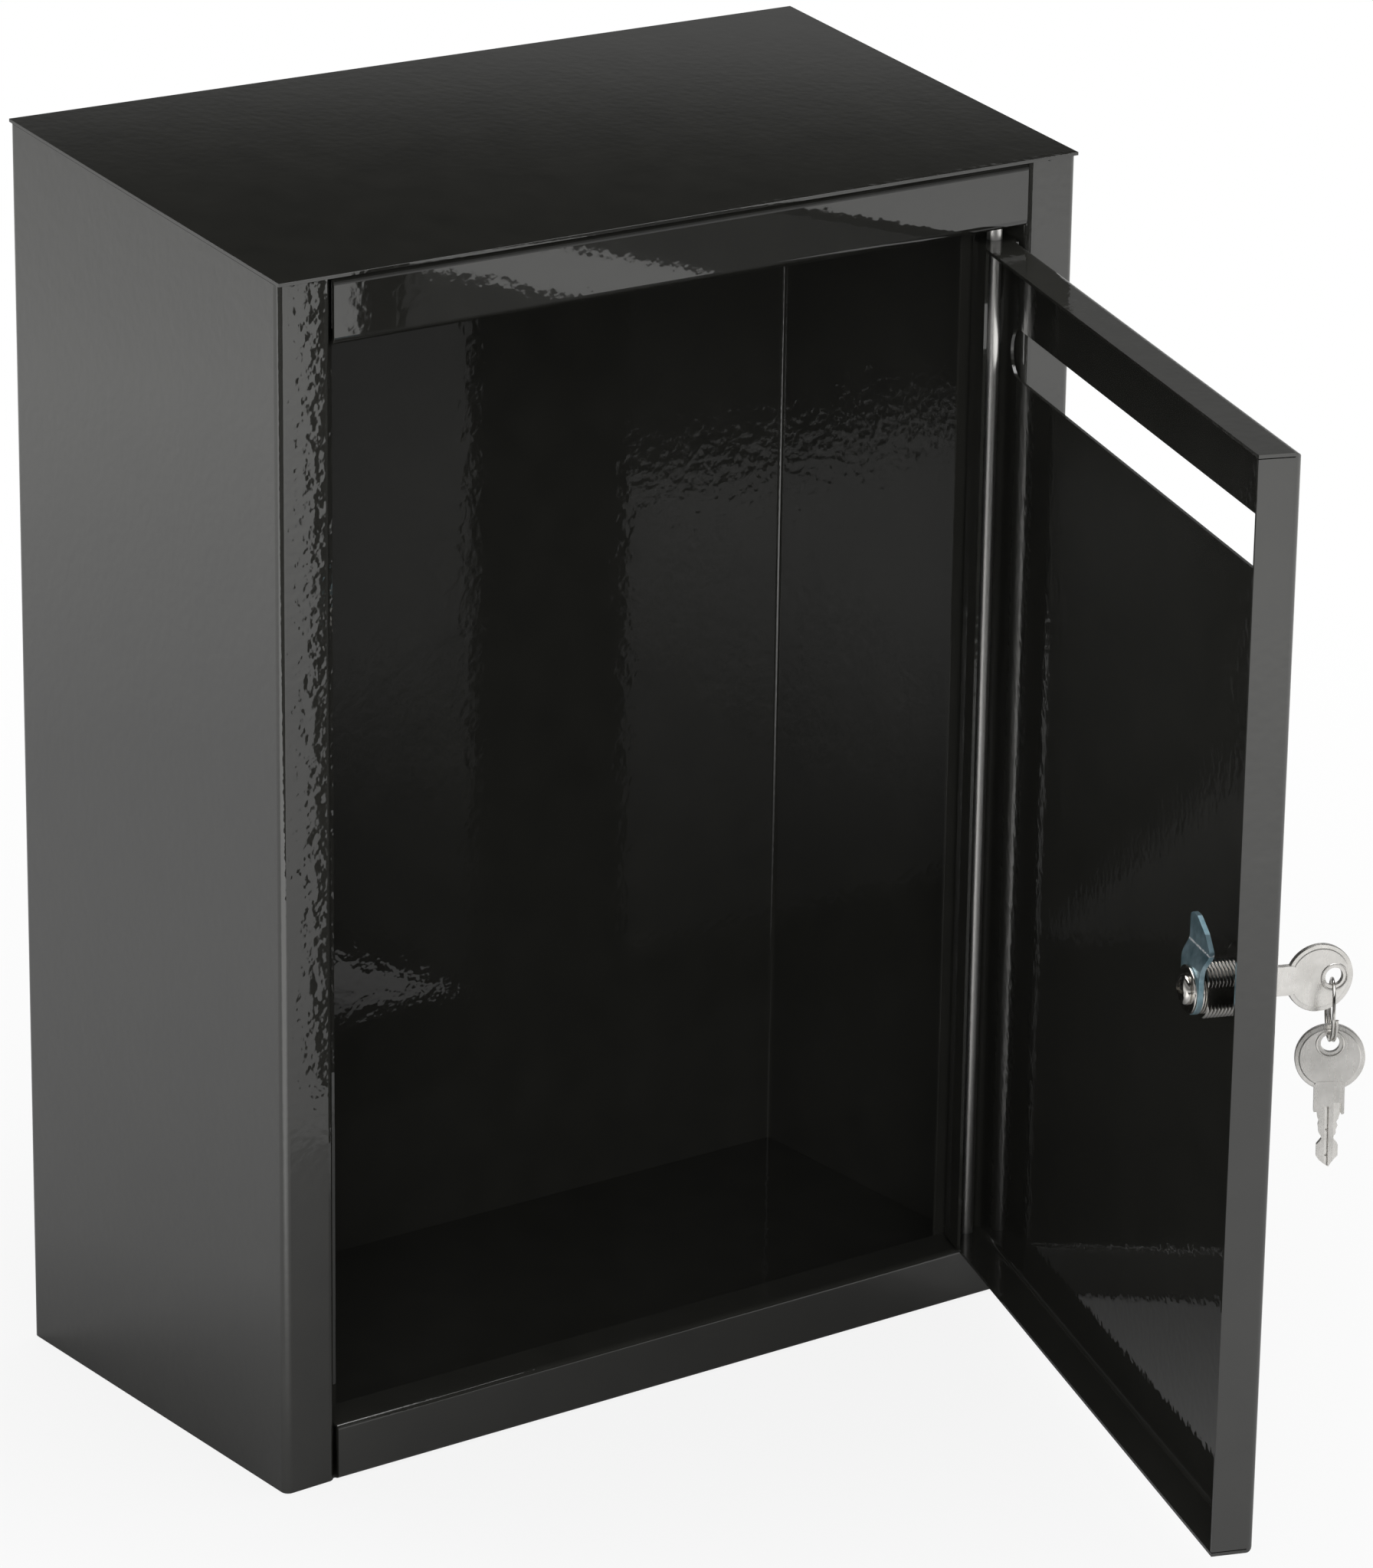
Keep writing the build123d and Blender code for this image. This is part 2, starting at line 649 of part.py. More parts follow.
def ring_heading_at(quarters):
    """Unit direction of the wire after a number of quarter turns."""
    angle = ring_start + quarters * math.pi / 2
    forward = up * math.cos(angle) - ring_along * math.sin(angle)
    return (forward * ring_radius + ring_across * (ring_pitch / (2 * math.pi))).normalized()


with BuildPart() as split_ring:
    with BuildLine() as ring_wire:
        for quarter in range(quarter_turns):
            biarc(
                ring_point(quarter),
                ring_heading_at(quarter),
                ring_point(quarter + 1),
                ring_heading_at(quarter + 1),
            )
    with BuildSketch(Plane(origin=ring_point(0), z_dir=ring_heading_at(0))) as wire_section:
        Circle(ring_wire_radius)
    sweep(path=ring_wire.wires()[0])
split_ring.part.label = "split_ring"
export_step(split_ring.part, "parts/split_ring.step")
print("ring wire: gap between turns %.2f mm" % (ring_pitch - 2 * ring_wire_radius))

# Spare key, hanging from the ring with its flat side square to the wire
spare_hole_z = ring_centre.Z - ring_radius + ring_wire_radius + ring_clearance - bow_hole_radius
tilt = math.radians(spare_tilt)
spare_down = ring_across * math.sin(tilt) - up * math.cos(tilt)
spare_hole = Vector(ring_centre.X, ring_centre.Y, spare_hole_z)
spare_plane = Plane(origin=spare_hole + spare_down * bow_hole_offset, x_dir=spare_down, z_dir=ring_along)
with BuildPart() as spare_key:
    add(key_solid(spare_plane))
spare_key.part.label = "spare_key"
export_step(spare_key.part, "parts/spare_key.step")

print("pivot %.2f %.2f reach %.2f door %.2f to %.2f" % (pivot_x, pivot_y, door_reach, door_bottom, door_top))
print("lock axis at", lock_face.origin, "towards", inward)
print("ring top", ring_point(3), "spare hole", (ring_centre.X, ring_centre.Y, spare_hole_z))
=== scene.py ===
"""Suggestion box of black powder-coated sheet steel, with its door open and two keys at the lock."""

import json
import math

import bmesh
import bpy
from mathutils import Matrix, Vector


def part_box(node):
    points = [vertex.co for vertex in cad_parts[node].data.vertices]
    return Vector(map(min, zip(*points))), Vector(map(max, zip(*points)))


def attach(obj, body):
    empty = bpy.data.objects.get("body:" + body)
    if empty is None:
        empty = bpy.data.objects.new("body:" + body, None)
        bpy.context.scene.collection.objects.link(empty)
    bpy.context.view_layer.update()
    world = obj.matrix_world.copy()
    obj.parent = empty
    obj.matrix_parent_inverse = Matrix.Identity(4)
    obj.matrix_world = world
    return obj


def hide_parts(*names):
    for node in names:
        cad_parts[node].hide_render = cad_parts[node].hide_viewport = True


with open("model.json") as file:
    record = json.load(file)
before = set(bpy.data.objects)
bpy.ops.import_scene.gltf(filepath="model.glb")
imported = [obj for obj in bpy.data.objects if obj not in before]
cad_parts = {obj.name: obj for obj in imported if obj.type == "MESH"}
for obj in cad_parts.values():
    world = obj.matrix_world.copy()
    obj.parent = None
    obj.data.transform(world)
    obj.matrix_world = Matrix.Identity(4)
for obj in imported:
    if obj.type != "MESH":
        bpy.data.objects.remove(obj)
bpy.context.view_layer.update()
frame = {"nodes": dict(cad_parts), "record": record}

nodes = frame["nodes"]
MM = 0.001


# Camera

CAMERA_SPOT = (-1.15078, -1.61932, 0.86164)
CAMERA_AZIMUTH, CAMERA_ELEVATION, CAMERA_ROLL = (math.radians(angle) for angle in (36.692, 18.886, 0.817))
PHOTO_HEIGHT, FOCAL_PIXELS, SENSOR = 2046, 8540.7, 36


def photo_camera():
    """A long lens at the photograph's place and turn."""
    level = math.cos(CAMERA_ELEVATION)
    back = Vector(
        (-math.sin(CAMERA_AZIMUTH) * level, -math.cos(CAMERA_AZIMUTH) * level, math.sin(CAMERA_ELEVATION))
    )
    side = (-back).cross(Vector((0, 0, 1))).normalized()
    top = side.cross(-back)
    right = side * math.cos(CAMERA_ROLL) + top * math.sin(CAMERA_ROLL)
    up = top * math.cos(CAMERA_ROLL) - side * math.sin(CAMERA_ROLL)
    lens = bpy.data.cameras.new("photo_camera")
    lens.sensor_fit = "VERTICAL"
    lens.sensor_height = SENSOR
    lens.lens = SENSOR * FOCAL_PIXELS / PHOTO_HEIGHT
    lens.clip_start = 0.1
    lens.clip_end = 60
    camera = bpy.data.objects.new("photo_camera", lens)
    turn = Matrix((right, up, back)).transposed()
    camera.matrix_world = Matrix.Translation(Vector(CAMERA_SPOT)) @ turn.to_4x4()
    bpy.context.scene.collection.objects.link(camera)
    bpy.context.scene.camera = camera


photo_camera()


# Nodes that the finishes and the studio share


def new_finish(name):
    """A material with its tree, its shader, and the place on the object in metres."""
    finish = bpy.data.materials.new(name)
    finish.use_nodes = True
    tree = finish.node_tree
    place = tree.nodes.new("ShaderNodeTexCoord")
    return finish, tree, tree.nodes["Principled BSDF"], place.outputs["Object"]


def feed(tree, value, socket):
    """A socket takes another node's output, or a constant."""
    if isinstance(value, bpy.types.NodeSocket):
        tree.links.new(value, socket)
    else:
        socket.default_value = value


def grain(tree, place, scale, detail=2, rough=0.5, stretch=None):
    """Noise, scale waves to the metre; stretch squeezes it along an axis."""
    source = place
    if stretch:
        mapping = tree.nodes.new("ShaderNodeMapping")
        mapping.inputs["Scale"].default_value = stretch
        tree.links.new(place, mapping.inputs["Vector"])
        source = mapping.outputs["Vector"]
    noise = tree.nodes.new("ShaderNodeTexNoise")
    noise.inputs["Scale"].default_value = scale
    noise.inputs["Detail"].default_value = detail
    noise.inputs["Roughness"].default_value = rough
    tree.links.new(source, noise.inputs["Vector"])
    return noise.outputs["Fac"]


def shades(tree, factor, stops):
    """Colours over a factor, from the lowest stop to the highest."""
    ramp = tree.nodes.new("ShaderNodeValToRGB")
    marks = ramp.color_ramp.elements
    marks[0].position, marks[1].position = stops[0][0], stops[-1][0]
    for position, colour in stops[1:-1]:
        marks.new(position)
    for mark, (position, colour) in zip(marks, stops):
        mark.color = (*colour, 1)
    tree.links.new(factor, ramp.inputs["Fac"])
    return ramp.outputs["Color"]


def greys(tree, factor, stops):
    return shades(tree, factor, [(position, (grey, grey, grey)) for position, grey in stops])


def spread(tree, factor, low, high, start=0, end=1):
    """A factor that runs from start to end is carried over to low and high, and held there beyond."""
    span = tree.nodes.new("ShaderNodeMapRange")
    feed(tree, factor, span.inputs["Value"])
    for name, value in (("From Min", start), ("From Max", end), ("To Min", low), ("To Max", high)):
        feed(tree, value, span.inputs[name])
    return span.outputs["Result"]


def sides_of(tree, place):
    """The three coordinates of a place."""
    parts = tree.nodes.new("ShaderNodeSeparateXYZ")
    tree.links.new(place, parts.inputs["Vector"])
    return parts.outputs


def work_out(tree, operation, *values):
    """One step of arithmetic on numbers or other nodes' outputs."""
    step = tree.nodes.new("ShaderNodeMath")
    step.operation = operation
    for index, value in enumerate(values):
        feed(tree, value, step.inputs[index])
    return step.outputs["Value"]


def blend(tree, factor, first, second, kind="MIX"):
    """Two colours in one; a constant colour has four numbers."""
    mix = tree.nodes.new("ShaderNodeMix")
    mix.data_type = "RGBA"
    mix.blend_type = kind
    for name, value in (("Factor", factor), ("A", first), ("B", second)):
        feed(tree, value, mix.inputs[name])
    return mix.outputs["Result"]


def choose(tree, share, first, second):
    """The second shader takes a share of the first."""
    mix = tree.nodes.new("ShaderNodeMixShader")
    for index, value in enumerate((share, first, second)):
        tree.links.new(value, mix.inputs[index])
    return mix.outputs["Shader"]


def relief(tree, shader, height, strength, distance):
    bump = tree.nodes.new("ShaderNodeBump")
    bump.inputs["Distance"].default_value = distance
    feed(tree, strength, bump.inputs["Strength"])
    tree.links.new(height, bump.inputs["Height"])
    tree.links.new(bump.outputs["Normal"], shader.inputs["Normal"])


# Finishes

COAT_DARK, COAT_PALE = (0.0112, 0.0112, 0.0099), (0.0136, 0.0135, 0.0119)
PEEL_HEIGHT = 0.00006
# The lid's colour factor is painted shade: a darker copy of the same black paint, for the lid lit from above
LID_PEEL, LID_PAINTED_SHADE, RAIL_PEEL = 0.06, 0.72, 0.5
RAIL_BACK, LID_START = -0.0738, -0.0732


def black_powder_coat():
    """Glossy powder coat: faint cloudiness and orange peel."""
    finish, tree, shader, place = new_finish("black_powder_coat")
    coat_over(tree, shader, place, COAT_DARK, COAT_PALE, 1.0)
    return finish


def smooth_lid_coat_with_painted_shade():
    """The lid's coat: smoother, with its black darkened as painted shade for the light the lid takes from
    above, but the rail at its front has orange peel.
    """
    finish, tree, shader, place = new_finish("smooth_lid_coat_with_painted_shade")
    # Painted shade: the coat's two colours darkened for the whole lid piece
    dark, pale = ([shade * LID_PAINTED_SHADE for shade in colour] for colour in (COAT_DARK, COAT_PALE))
    peel = spread(tree, sides_of(tree, place)["Y"], RAIL_PEEL, LID_PEEL, RAIL_BACK, LID_START)
    coat_over(tree, shader, place, dark, pale, peel)
    return finish


def coat_over(tree, shader, place, dark, pale, peel):
    colour = shades(tree, grain(tree, place, 70, 3), [(0.3, dark), (0.72, pale)])
    feed(tree, colour, shader.inputs["Base Color"])
    feed(tree, spread(tree, grain(tree, place, 60, 3), 0.03, 0.055), shader.inputs["Roughness"])
    relief(tree, shader, grain(tree, place, 330, 1.5, 0.4), peel, PEEL_HEIGHT)
    shader.inputs["Specular IOR Level"].default_value = 1.0


def metal(name, clouds, tones, scratches, roughness, dents=None, dent_strength=0.0, pale_from=0.7):
    """Clouds between two tones, scratches between two roughnesses, and fine dents 0.02 mm deep."""
    finish, tree, shader, place = new_finish(name)
    dark, pale = tones
    colour = shades(tree, grain(tree, place, *clouds), [(0.3, dark), (pale_from, pale)])
    feed(tree, colour, shader.inputs["Base Color"])
    feed(tree, spread(tree, grain(tree, place, *scratches), *roughness), shader.inputs["Roughness"])
    if dents:
        relief(tree, shader, grain(tree, place, *dents), dent_strength, 0.00002)
    shader.inputs["Metallic"].default_value = 1
    return finish


# Height and half width of the band of painted highlight along the cam's upper bend, in metres
HIGHLIGHT_HEIGHT, HIGHLIGHT_HALF_WIDTH = 0.2049, 0.00028


def zinc_with_painted_highlight():
    """The cam's zinc: bluish plate, with a broken near-white line along its upper bend as a painted
    highlight.
    """
    finish, tree, shader, place = new_finish("zinc_with_painted_highlight")
    cloud = grain(tree, place, 220, 3)
    plate = shades(tree, cloud, [(0.3, (0.27, 0.47, 0.56)), (0.7, (0.66, 0.88, 0.98))])
    # Painted highlight: a band at one height is painted near-white and made rougher, broken up by noise
    near = work_out(tree, "COMPARE", sides_of(tree, place)["Z"], HIGHLIGHT_HEIGHT, HIGHLIGHT_HALF_WIDTH)
    broken = work_out(tree, "GREATER_THAN", grain(tree, place, 900, 2), 0.46)
    line = work_out(tree, "MULTIPLY", near, broken)
    feed(tree, blend(tree, line, plate, (0.93, 0.95, 0.97, 1)), shader.inputs["Base Color"])
    feed(tree, spread(tree, line, 0.4, 0.65), shader.inputs["Roughness"])
    relief(tree, shader, grain(tree, place, 1200, 3), 0.15, 0.00003)
    shader.inputs["Metallic"].default_value = 1
    return finish


DRAWN_LINES = (900, 3, 0.6, (1, 1, 0.02))
KEY_SCRATCHES = (700, 4, 0.65, (1, 1, 0.12))

coat, lid_coat, cam_zinc = black_powder_coat(), smooth_lid_coat_with_painted_shade(), zinc_with_painted_highlight()
steel = metal(
    "drawn_steel",
    DRAWN_LINES, ((0.78, 0.765, 0.74), (0.95, 0.94, 0.92)),
    DRAWN_LINES, (0.3, 0.42),
    DRAWN_LINES, 0.1,
)
nickel = metal(
    "nickel_plate",
    (160, 3), ((0.60, 0.585, 0.555), (0.72, 0.70, 0.67)),
    (700, 3), (0.1, 0.2),
    (1500, 2), 0.12,
)
key_nickel = metal(
    "brushed_key_nickel",
    (130, 4, 0.6), ((0.66, 0.645, 0.615), (0.86, 0.84, 0.81)),
    KEY_SCRATCHES, (0.2, 0.36),
    KEY_SCRATCHES, 0.25,
    pale_from=0.72,
)
brass = metal("stamped_brass", (300, 3), ((0.62, 0.43, 0.18), (0.78, 0.58, 0.30)), (300, 3), (0.25, 0.4))
finishes = {
    "black_paint": coat, "bare_steel": steel, "nickel": nickel, "blue_zinc": cam_zinc, "wafer_brass": brass
}
for part in frame["record"]["subparts"]:
    solid = nodes[part["node"]]
    solid.data.materials.clear()
    solid.data.materials.append(finishes[part["material_slot"]])


# Workshop: sizes are in millimetres from here on

TINY = 0.000002
WIDE_FACE = 3


def started(name):
    """The piece just added gets its name, with its place in its mesh."""
    piece = bpy.context.object
    piece.name = name
    piece.data.name = name
    bpy.ops.object.transform_apply(location=True, rotation=True, scale=True)
    return piece


def take(piece):
    bpy.ops.object.select_all(action="DESELECT")
    piece.select_set(True)
    bpy.context.view_layer.objects.active = piece


def edit(piece, kind="FACE"):
    take(piece)
    bpy.ops.object.mode_set(mode="EDIT")
    bpy.ops.mesh.select_mode(type=kind)
    bpy.ops.mesh.select_all(action="DESELECT")


def leave():
    bpy.ops.object.mode_set(mode="OBJECT")


def pick(piece, elements_of, wanted):
    """Selects those elements of the piece in edit mode that are wanted."""
    mesh = bmesh.from_edit_mesh(piece.data)
    bpy.ops.mesh.select_all(action="DESELECT")
    for element in elements_of(mesh):
        element.select = bool(wanted(element))
    mesh.select_flush_mode()
    bmesh.update_edit_mesh(piece.data)


def pick_faces(piece, wanted):
    pick(piece, lambda mesh: mesh.faces, lambda face: wanted(face.normal))


def pick_edges(piece, wanted):
    pick(piece, lambda mesh: mesh.edges, lambda edge: wanted(edge.verts[0].co / MM, edge.verts[1].co / MM))


def pick_points(piece, wanted):
    pick(piece, lambda mesh: mesh.verts, lambda point: wanted(point.co / MM))


def extruded(move):
    """Extrudes what is selected by a move in metres."""
    bpy.ops.mesh.extrude_region_move(TRANSFORM_OT_translate={"value": move})


def outward_normals():
    bpy.ops.mesh.select_all(action="SELECT")
    bpy.ops.mesh.normals_make_consistent(inside=False)


def block(name, low, high):
    low, high = Vector(low) * MM, Vector(high) * MM
    bpy.ops.object.select_all(action="DESELECT")
    bpy.ops.mesh.primitive_cube_add(size=1, location=(low + high) / 2, scale=high - low)
    return started(name)


def round_bar(name, radius, low, high, centre=(0, 0), sides=64, axis="Z"):
    """A cylinder from low to high along z or y, through a centre in the other two directions."""
    middle = (low + high) / 2
    if axis == "Z":
        spot, turn = (centre[0], centre[1], middle), (0, 0, 0)
    else:
        spot, turn = (centre[0], middle, centre[1]), (math.radians(90), 0, 0)
    bpy.ops.object.select_all(action="DESELECT")
    bpy.ops.mesh.primitive_cylinder_add(
        vertices=sides, radius=radius * MM, depth=(high - low) * MM, location=Vector(spot) * MM, rotation=turn
    )
    return started(name)


def small_ball(name, radius, centre, segments, rings, stretch=(1, 1, 1)):
    bpy.ops.object.select_all(action="DESELECT")
    bpy.ops.mesh.primitive_uv_sphere_add(
        segments=segments, ring_count=rings, radius=radius * MM, location=[side * MM for side in centre],
        scale=stretch,
    )
    return started(name)


def first_point(name, spot):
    """A piece that is one point, at a spot in metres: a small plane merged to its centre."""
    bpy.ops.object.select_all(action="DESELECT")
    bpy.ops.mesh.primitive_plane_add(size=0.001, location=spot)
    piece = started(name)
    edit(piece, "VERT")
    bpy.ops.mesh.select_all(action="SELECT")
    bpy.ops.mesh.merge(type="CENTER")
    return piece


def drawn_line(name, points, closed=False):
    """A line extruded from each point to the next, and left in edit mode; closed makes it a face."""
    points = [Vector(point) * MM for point in points]
    line = first_point(name, points[0])
    for here, there in zip(points, points[1:]):
        extruded(there - here)
    if closed:
        ends = (points[0] / MM, points[-1] / MM)
        pick_points(line, lambda spot: min((spot - end).length for end in ends) < 1e-3)
        bpy.ops.mesh.edge_face_add()
        bpy.ops.mesh.select_all(action="SELECT")
        bpy.ops.mesh.edge_face_add()
    return line


def cut_plate(name, outline, low, high):
    """A plate with an outline in x and y, from low to high along z."""
    plate = drawn_line(name, [(x, y, low) for x, y in outline], closed=True)
    bpy.ops.mesh.select_all(action="SELECT")
    extruded(Vector((0, 0, high - low)) * MM)
    outward_normals()
    leave()
    return plate


def turned(name, profile, sides=96):
    """A profile of radius and height spun about z."""
    piece = drawn_line(name, [(radius, 0, height) for radius, height in profile])
    bpy.ops.mesh.select_all(action="SELECT")
    bpy.ops.mesh.spin(steps=sides, angle=2 * math.pi, center=(0, 0, 0), axis=(0, 0, 1))
    bpy.ops.mesh.select_all(action="SELECT")
    bpy.ops.mesh.remove_doubles(threshold=0.000005)
    bpy.ops.mesh.normals_make_consistent(inside=False)
    bpy.ops.mesh.dissolve_limited(angle_limit=math.radians(0.5))
    leave()
    return piece


def folded_sheet(name, corners, run, thickness, bend, steps=6):
    """Sheet along the corners of its middle line, as wide as run and bent to a radius at each corner."""
    corners = [Vector(corner) for corner in corners]
    run = Vector(run)
    across = run.normalized()
    strip = drawn_line(name, corners)
    bpy.ops.mesh.select_mode(type="EDGE")
    bpy.ops.mesh.select_all(action="SELECT")
    extruded(run * MM)

    def is_fold(a, b):
        folds = corners[1:-1]
        return any(max((end - fold).cross(across).length for end in (a, b)) < 1e-3 for fold in folds)

    pick_edges(strip, is_fold)
    if bend:
        bpy.ops.mesh.bevel(offset=bend * MM, segments=steps, affect="EDGES", clamp_overlap=False)
    outward_normals()
    leave()
    thicken(strip, thickness, 0)
    return strip


def apply_modifiers(piece):
    take(piece)
    for modifier in list(piece.modifiers):
        bpy.ops.object.modifier_apply(modifier=modifier.name)


def thicken(piece, thickness, offset):
    wall = piece.modifiers.new("wall", "SOLIDIFY")
    wall.thickness = thickness * MM
    wall.offset = offset
    wall.use_even_offset = True
    apply_modifiers(piece)


def combine(piece, tool, operation):
    change = piece.modifiers.new("change", "BOOLEAN")
    change.operation = operation
    change.object = tool
    change.solver = "EXACT"
    apply_modifiers(piece)
    bpy.data.objects.remove(tool)


def cut(piece, tool):
    combine(piece, tool, "DIFFERENCE")


def weld(piece, tool):
    combine(piece, tool, "UNION")


def gather(piece, *others):
    """Joins loose shells of one piece into one object."""
    take(piece)
    for other in others:
        other.select_set(True)
    bpy.ops.object.join()
    return piece


def soften(piece, width, steps=2, angle=50):
    """Edges sharper than the angle get a narrow round."""
    edge = piece.modifiers.new("edge", "BEVEL")
    edge.width = width * MM
    edge.segments = steps
    edge.limit_method = "ANGLE"
    edge.angle_limit = math.radians(angle)
    edge.use_clamp_overlap = True
    apply_modifiers(piece)


def smooth(piece, angle=35):
    """Bends and round faces are shaded smooth; wide faces, or those with many corners, stay flat."""
    edit(piece)
    bpy.ops.mesh.select_all(action="SELECT")
    bpy.ops.mesh.dissolve_degenerate(threshold=TINY)
    leave()
    bpy.ops.object.shade_smooth_by_angle(angle=math.radians(angle))
    mesh = piece.data
    for face in mesh.polygons:
        longest = max((mesh.vertices[a].co - mesh.vertices[b].co).length for a, b in face.edge_keys)
        if len(face.vertices) > 4 or face.area > WIDE_FACE * MM * longest:
            face.use_smooth = False
    shading = piece.modifiers.new("shading", "WEIGHTED_NORMAL")
    shading.keep_sharp = True
    shading.weight = 80
    apply_modifiers(piece)


def set_in(piece, place):
    """Moves a piece made round the origin to its place on the object."""
    piece.matrix_world = place
    take(piece)
    bpy.ops.object.transform_apply(location=True, rotation=True, scale=True)


def dress(piece, finish, body, slot, *stands_for):
    piece.data.materials.clear()
    piece.data.materials.append(finish)
    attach(piece, body)
    if stands_for:
        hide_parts(*stands_for)


def place_from(origin, x, y, z):
    turn = Matrix((x, y, z)).transposed().to_4x4()
    return Matrix.Translation(Vector(origin) * MM) @ turn


# Sizes, as in the solid model

WIDTH, DEPTH, FRONT, RISE = 300.0, 150.0, 384.5, 19.5
SHEET, BEND = 1.0, 2.0
HALF_SHEET = SHEET / 2
SLOPE = RISE / DEPTH
LID_DROP = SHEET * math.sqrt(1 + SLOPE ** 2)
SIDE, FACE, BACK = WIDTH / 2, -DEPTH / 2, DEPTH / 2
OPENING = 131.0
RAIL_HALF = 130.5
TOP_RAIL, BOTTOM_RAIL = 362.8, 18.4
STOP_DEEP, HINGE_STOP, LOCK_STOP = 14.2, 15.3, 9.0
FLANGE_LEAN, FLANGE_LEAN_TOP = 0.68, 0.33
HOLE_ASIDE, HOLE_HIGH, HOLE_RADIUS = 75, 344, 3

PIVOT = Vector((123.0, -68.05, 0))
ROD_RADIUS, RAIL_BORE, DOOR_BORE = 2.5, 2.55, 2.6
DOOR_LOW, DOOR_HIGH, DOOR_REACH, DOOR_DEEP, DOOR_BEND = 19.5, 358.6, 252.0, 13.5, 2.5
SLOT_START, SLOT_END, SLOT_DROP, SLOT_HALF = 2.25, 243.0, 35.5, 8.15
LOCK_REACH, LOCK_HIGH = 230.1, 191.8
SWING = math.radians(69.6)
ALONG = Vector((-math.cos(SWING), -math.sin(SWING), 0))
INWARD = Vector((-math.sin(SWING), math.cos(SWING), 0))
UP = Vector((0, 0, 1))
DOOR_PLACE = place_from(PIVOT - INWARD * (DOOR_DEEP / 2), ALONG, UP, INWARD)
LOCK_PLACE = DOOR_PLACE @ Matrix.Translation(Vector((LOCK_REACH, LOCK_HIGH, 0)) * MM)


# Cabinet


def cabinet_shell():
    """Back, sides, front flanges, their returns and door stops. The lock side's flange leans in."""
    wall, lip = SIDE - HALF_SHEET, OPENING + HALF_SHEET
    front, back = FACE + HALF_SHEET, BACK - HALF_SHEET
    stop = front + STOP_DEEP
    middle_line = [
        (-OPENING + LOCK_STOP, stop),
        (-lip, stop),
        (-lip, front + FLANGE_LEAN),
        (-wall, front),
        (-wall, back),
        (wall, back),
        (wall, front),
        (lip, front),
        (lip, stop),
        (OPENING - HINGE_STOP, stop),
    ]
    spare = 5
    run = (0, 0, FRONT + RISE + spare)
    shell = folded_sheet("cabinet_shell", [(x, y, 0) for x, y in middle_line], run, SHEET, BEND)
    edit(shell)
    bpy.ops.mesh.select_all(action="SELECT")
    bpy.ops.mesh.bisect(
        plane_co=Vector((0, FACE, FRONT - LID_DROP)) * MM,
        plane_no=Vector((0, -SLOPE, 1)).normalized(),
        use_fill=True,
        clear_outer=True,
    )
    pick_points(shell, lambda spot: -4 < spot.x + OPENING < 2 and spot.y < FACE + 4 and spot.z > FRONT / 2)
    bpy.ops.transform.translate(value=(0, (FLANGE_LEAN_TOP - FLANGE_LEAN) * MM, 0))
    leave()
    for x in (-HOLE_ASIDE, HOLE_ASIDE):
        cut(shell, round_bar("wall_hole", HOLE_RADIUS, BACK - 15, BACK + 15, (x, HOLE_HIGH), 32, "Y"))
    soften(shell, 0.15)
    smooth(shell)
    dress(shell, coat, "cabinet", "black_paint", "body_shell")


def rail(name, line, bend, hole_low, hole_high):
    """A front rail: its middle line in y and z runs across the opening, with the rod's hole through it."""
    sheet = folded_sheet(name, [(-RAIL_HALF, y, z) for y, z in line], (2 * RAIL_HALF, 0, 0), SHEET, bend)
    cut(sheet, round_bar("rod_hole", RAIL_BORE, hole_low, hole_high, (PIVOT.x, PIVOT.y), 48))
    soften(sheet, 0.12)
    return sheet


def cabinet_lid():
    """Sloping lid with a thin front lip, the front rail folded down under it, and three weld beads."""
    lip = 0.6
    front, high = FACE - lip, FRONT - lip * SLOPE
    plate = block("cabinet_lid", (-SIDE, front, high - LID_DROP), (SIDE, BACK, high))
    edit(plate)
    pick_faces(plate, lambda normal: normal.y > 0.9)
    bpy.ops.transform.translate(value=(0, 0, (BACK - front) * SLOPE * MM))
    leave()
    soften(plate, 0.06)
    under, inset, top = 1.6, 2, FACE + HALF_SHEET
    line = [
        (BACK - inset, FRONT + RISE - inset * SLOPE - under),
        (top, FRONT + HALF_SHEET * SLOPE - under),
        (top, TOP_RAIL + HALF_SHEET),
        (FACE + STOP_DEEP, TOP_RAIL + HALF_SHEET),
    ]
    front_rail = rail("top_rail", line, BEND, TOP_RAIL - 2, TOP_RAIL + 3)
    bead_y, bead_z, flattened = FACE - 0.02, FRONT - LID_DROP - 0.25, (1.5, 0.7, 0.8)
    beads = [
        small_ball("weld_bead", 0.55, (x, bead_y, bead_z), 16, 10, flattened) for x in (-145.0, -136.2, 139.0)
    ]
    lid = gather(plate, front_rail, *beads)
    smooth(lid)
    dress(lid, lid_coat, "cabinet", "black_paint", "top_panel")


def cabinet_floor():
    """Floor plate with rounded corners and the front rail folded up from it."""
    play = 0.05
    edge = SHEET + play
    plate = block("cabinet_floor", (-SIDE + edge, FACE + 1.9, play), (SIDE - edge, BACK - edge, edge))
    edit(plate, "EDGE")
    pick_edges(plate, lambda a, b: abs(a.z - b.z) > 0.5)
    bpy.ops.mesh.bevel(offset=1.5 * MM, segments=4, affect="EDGES")
    leave()
    soften(plate, 0.12)
    low, front = 0.6, FACE + HALF_SHEET
    line = [
        (BACK - 2, low),
        (front, low),
        (front, BOTTOM_RAIL - HALF_SHEET),
        (FACE + STOP_DEEP, BOTTOM_RAIL - HALF_SHEET),
    ]
    floor = gather(plate, rail("bottom_rail", line, 1.2, BOTTOM_RAIL - 3, BOTTOM_RAIL + 2))
    smooth(floor)
    dress(floor, coat, "cabinet", "black_paint", "bottom_panel")


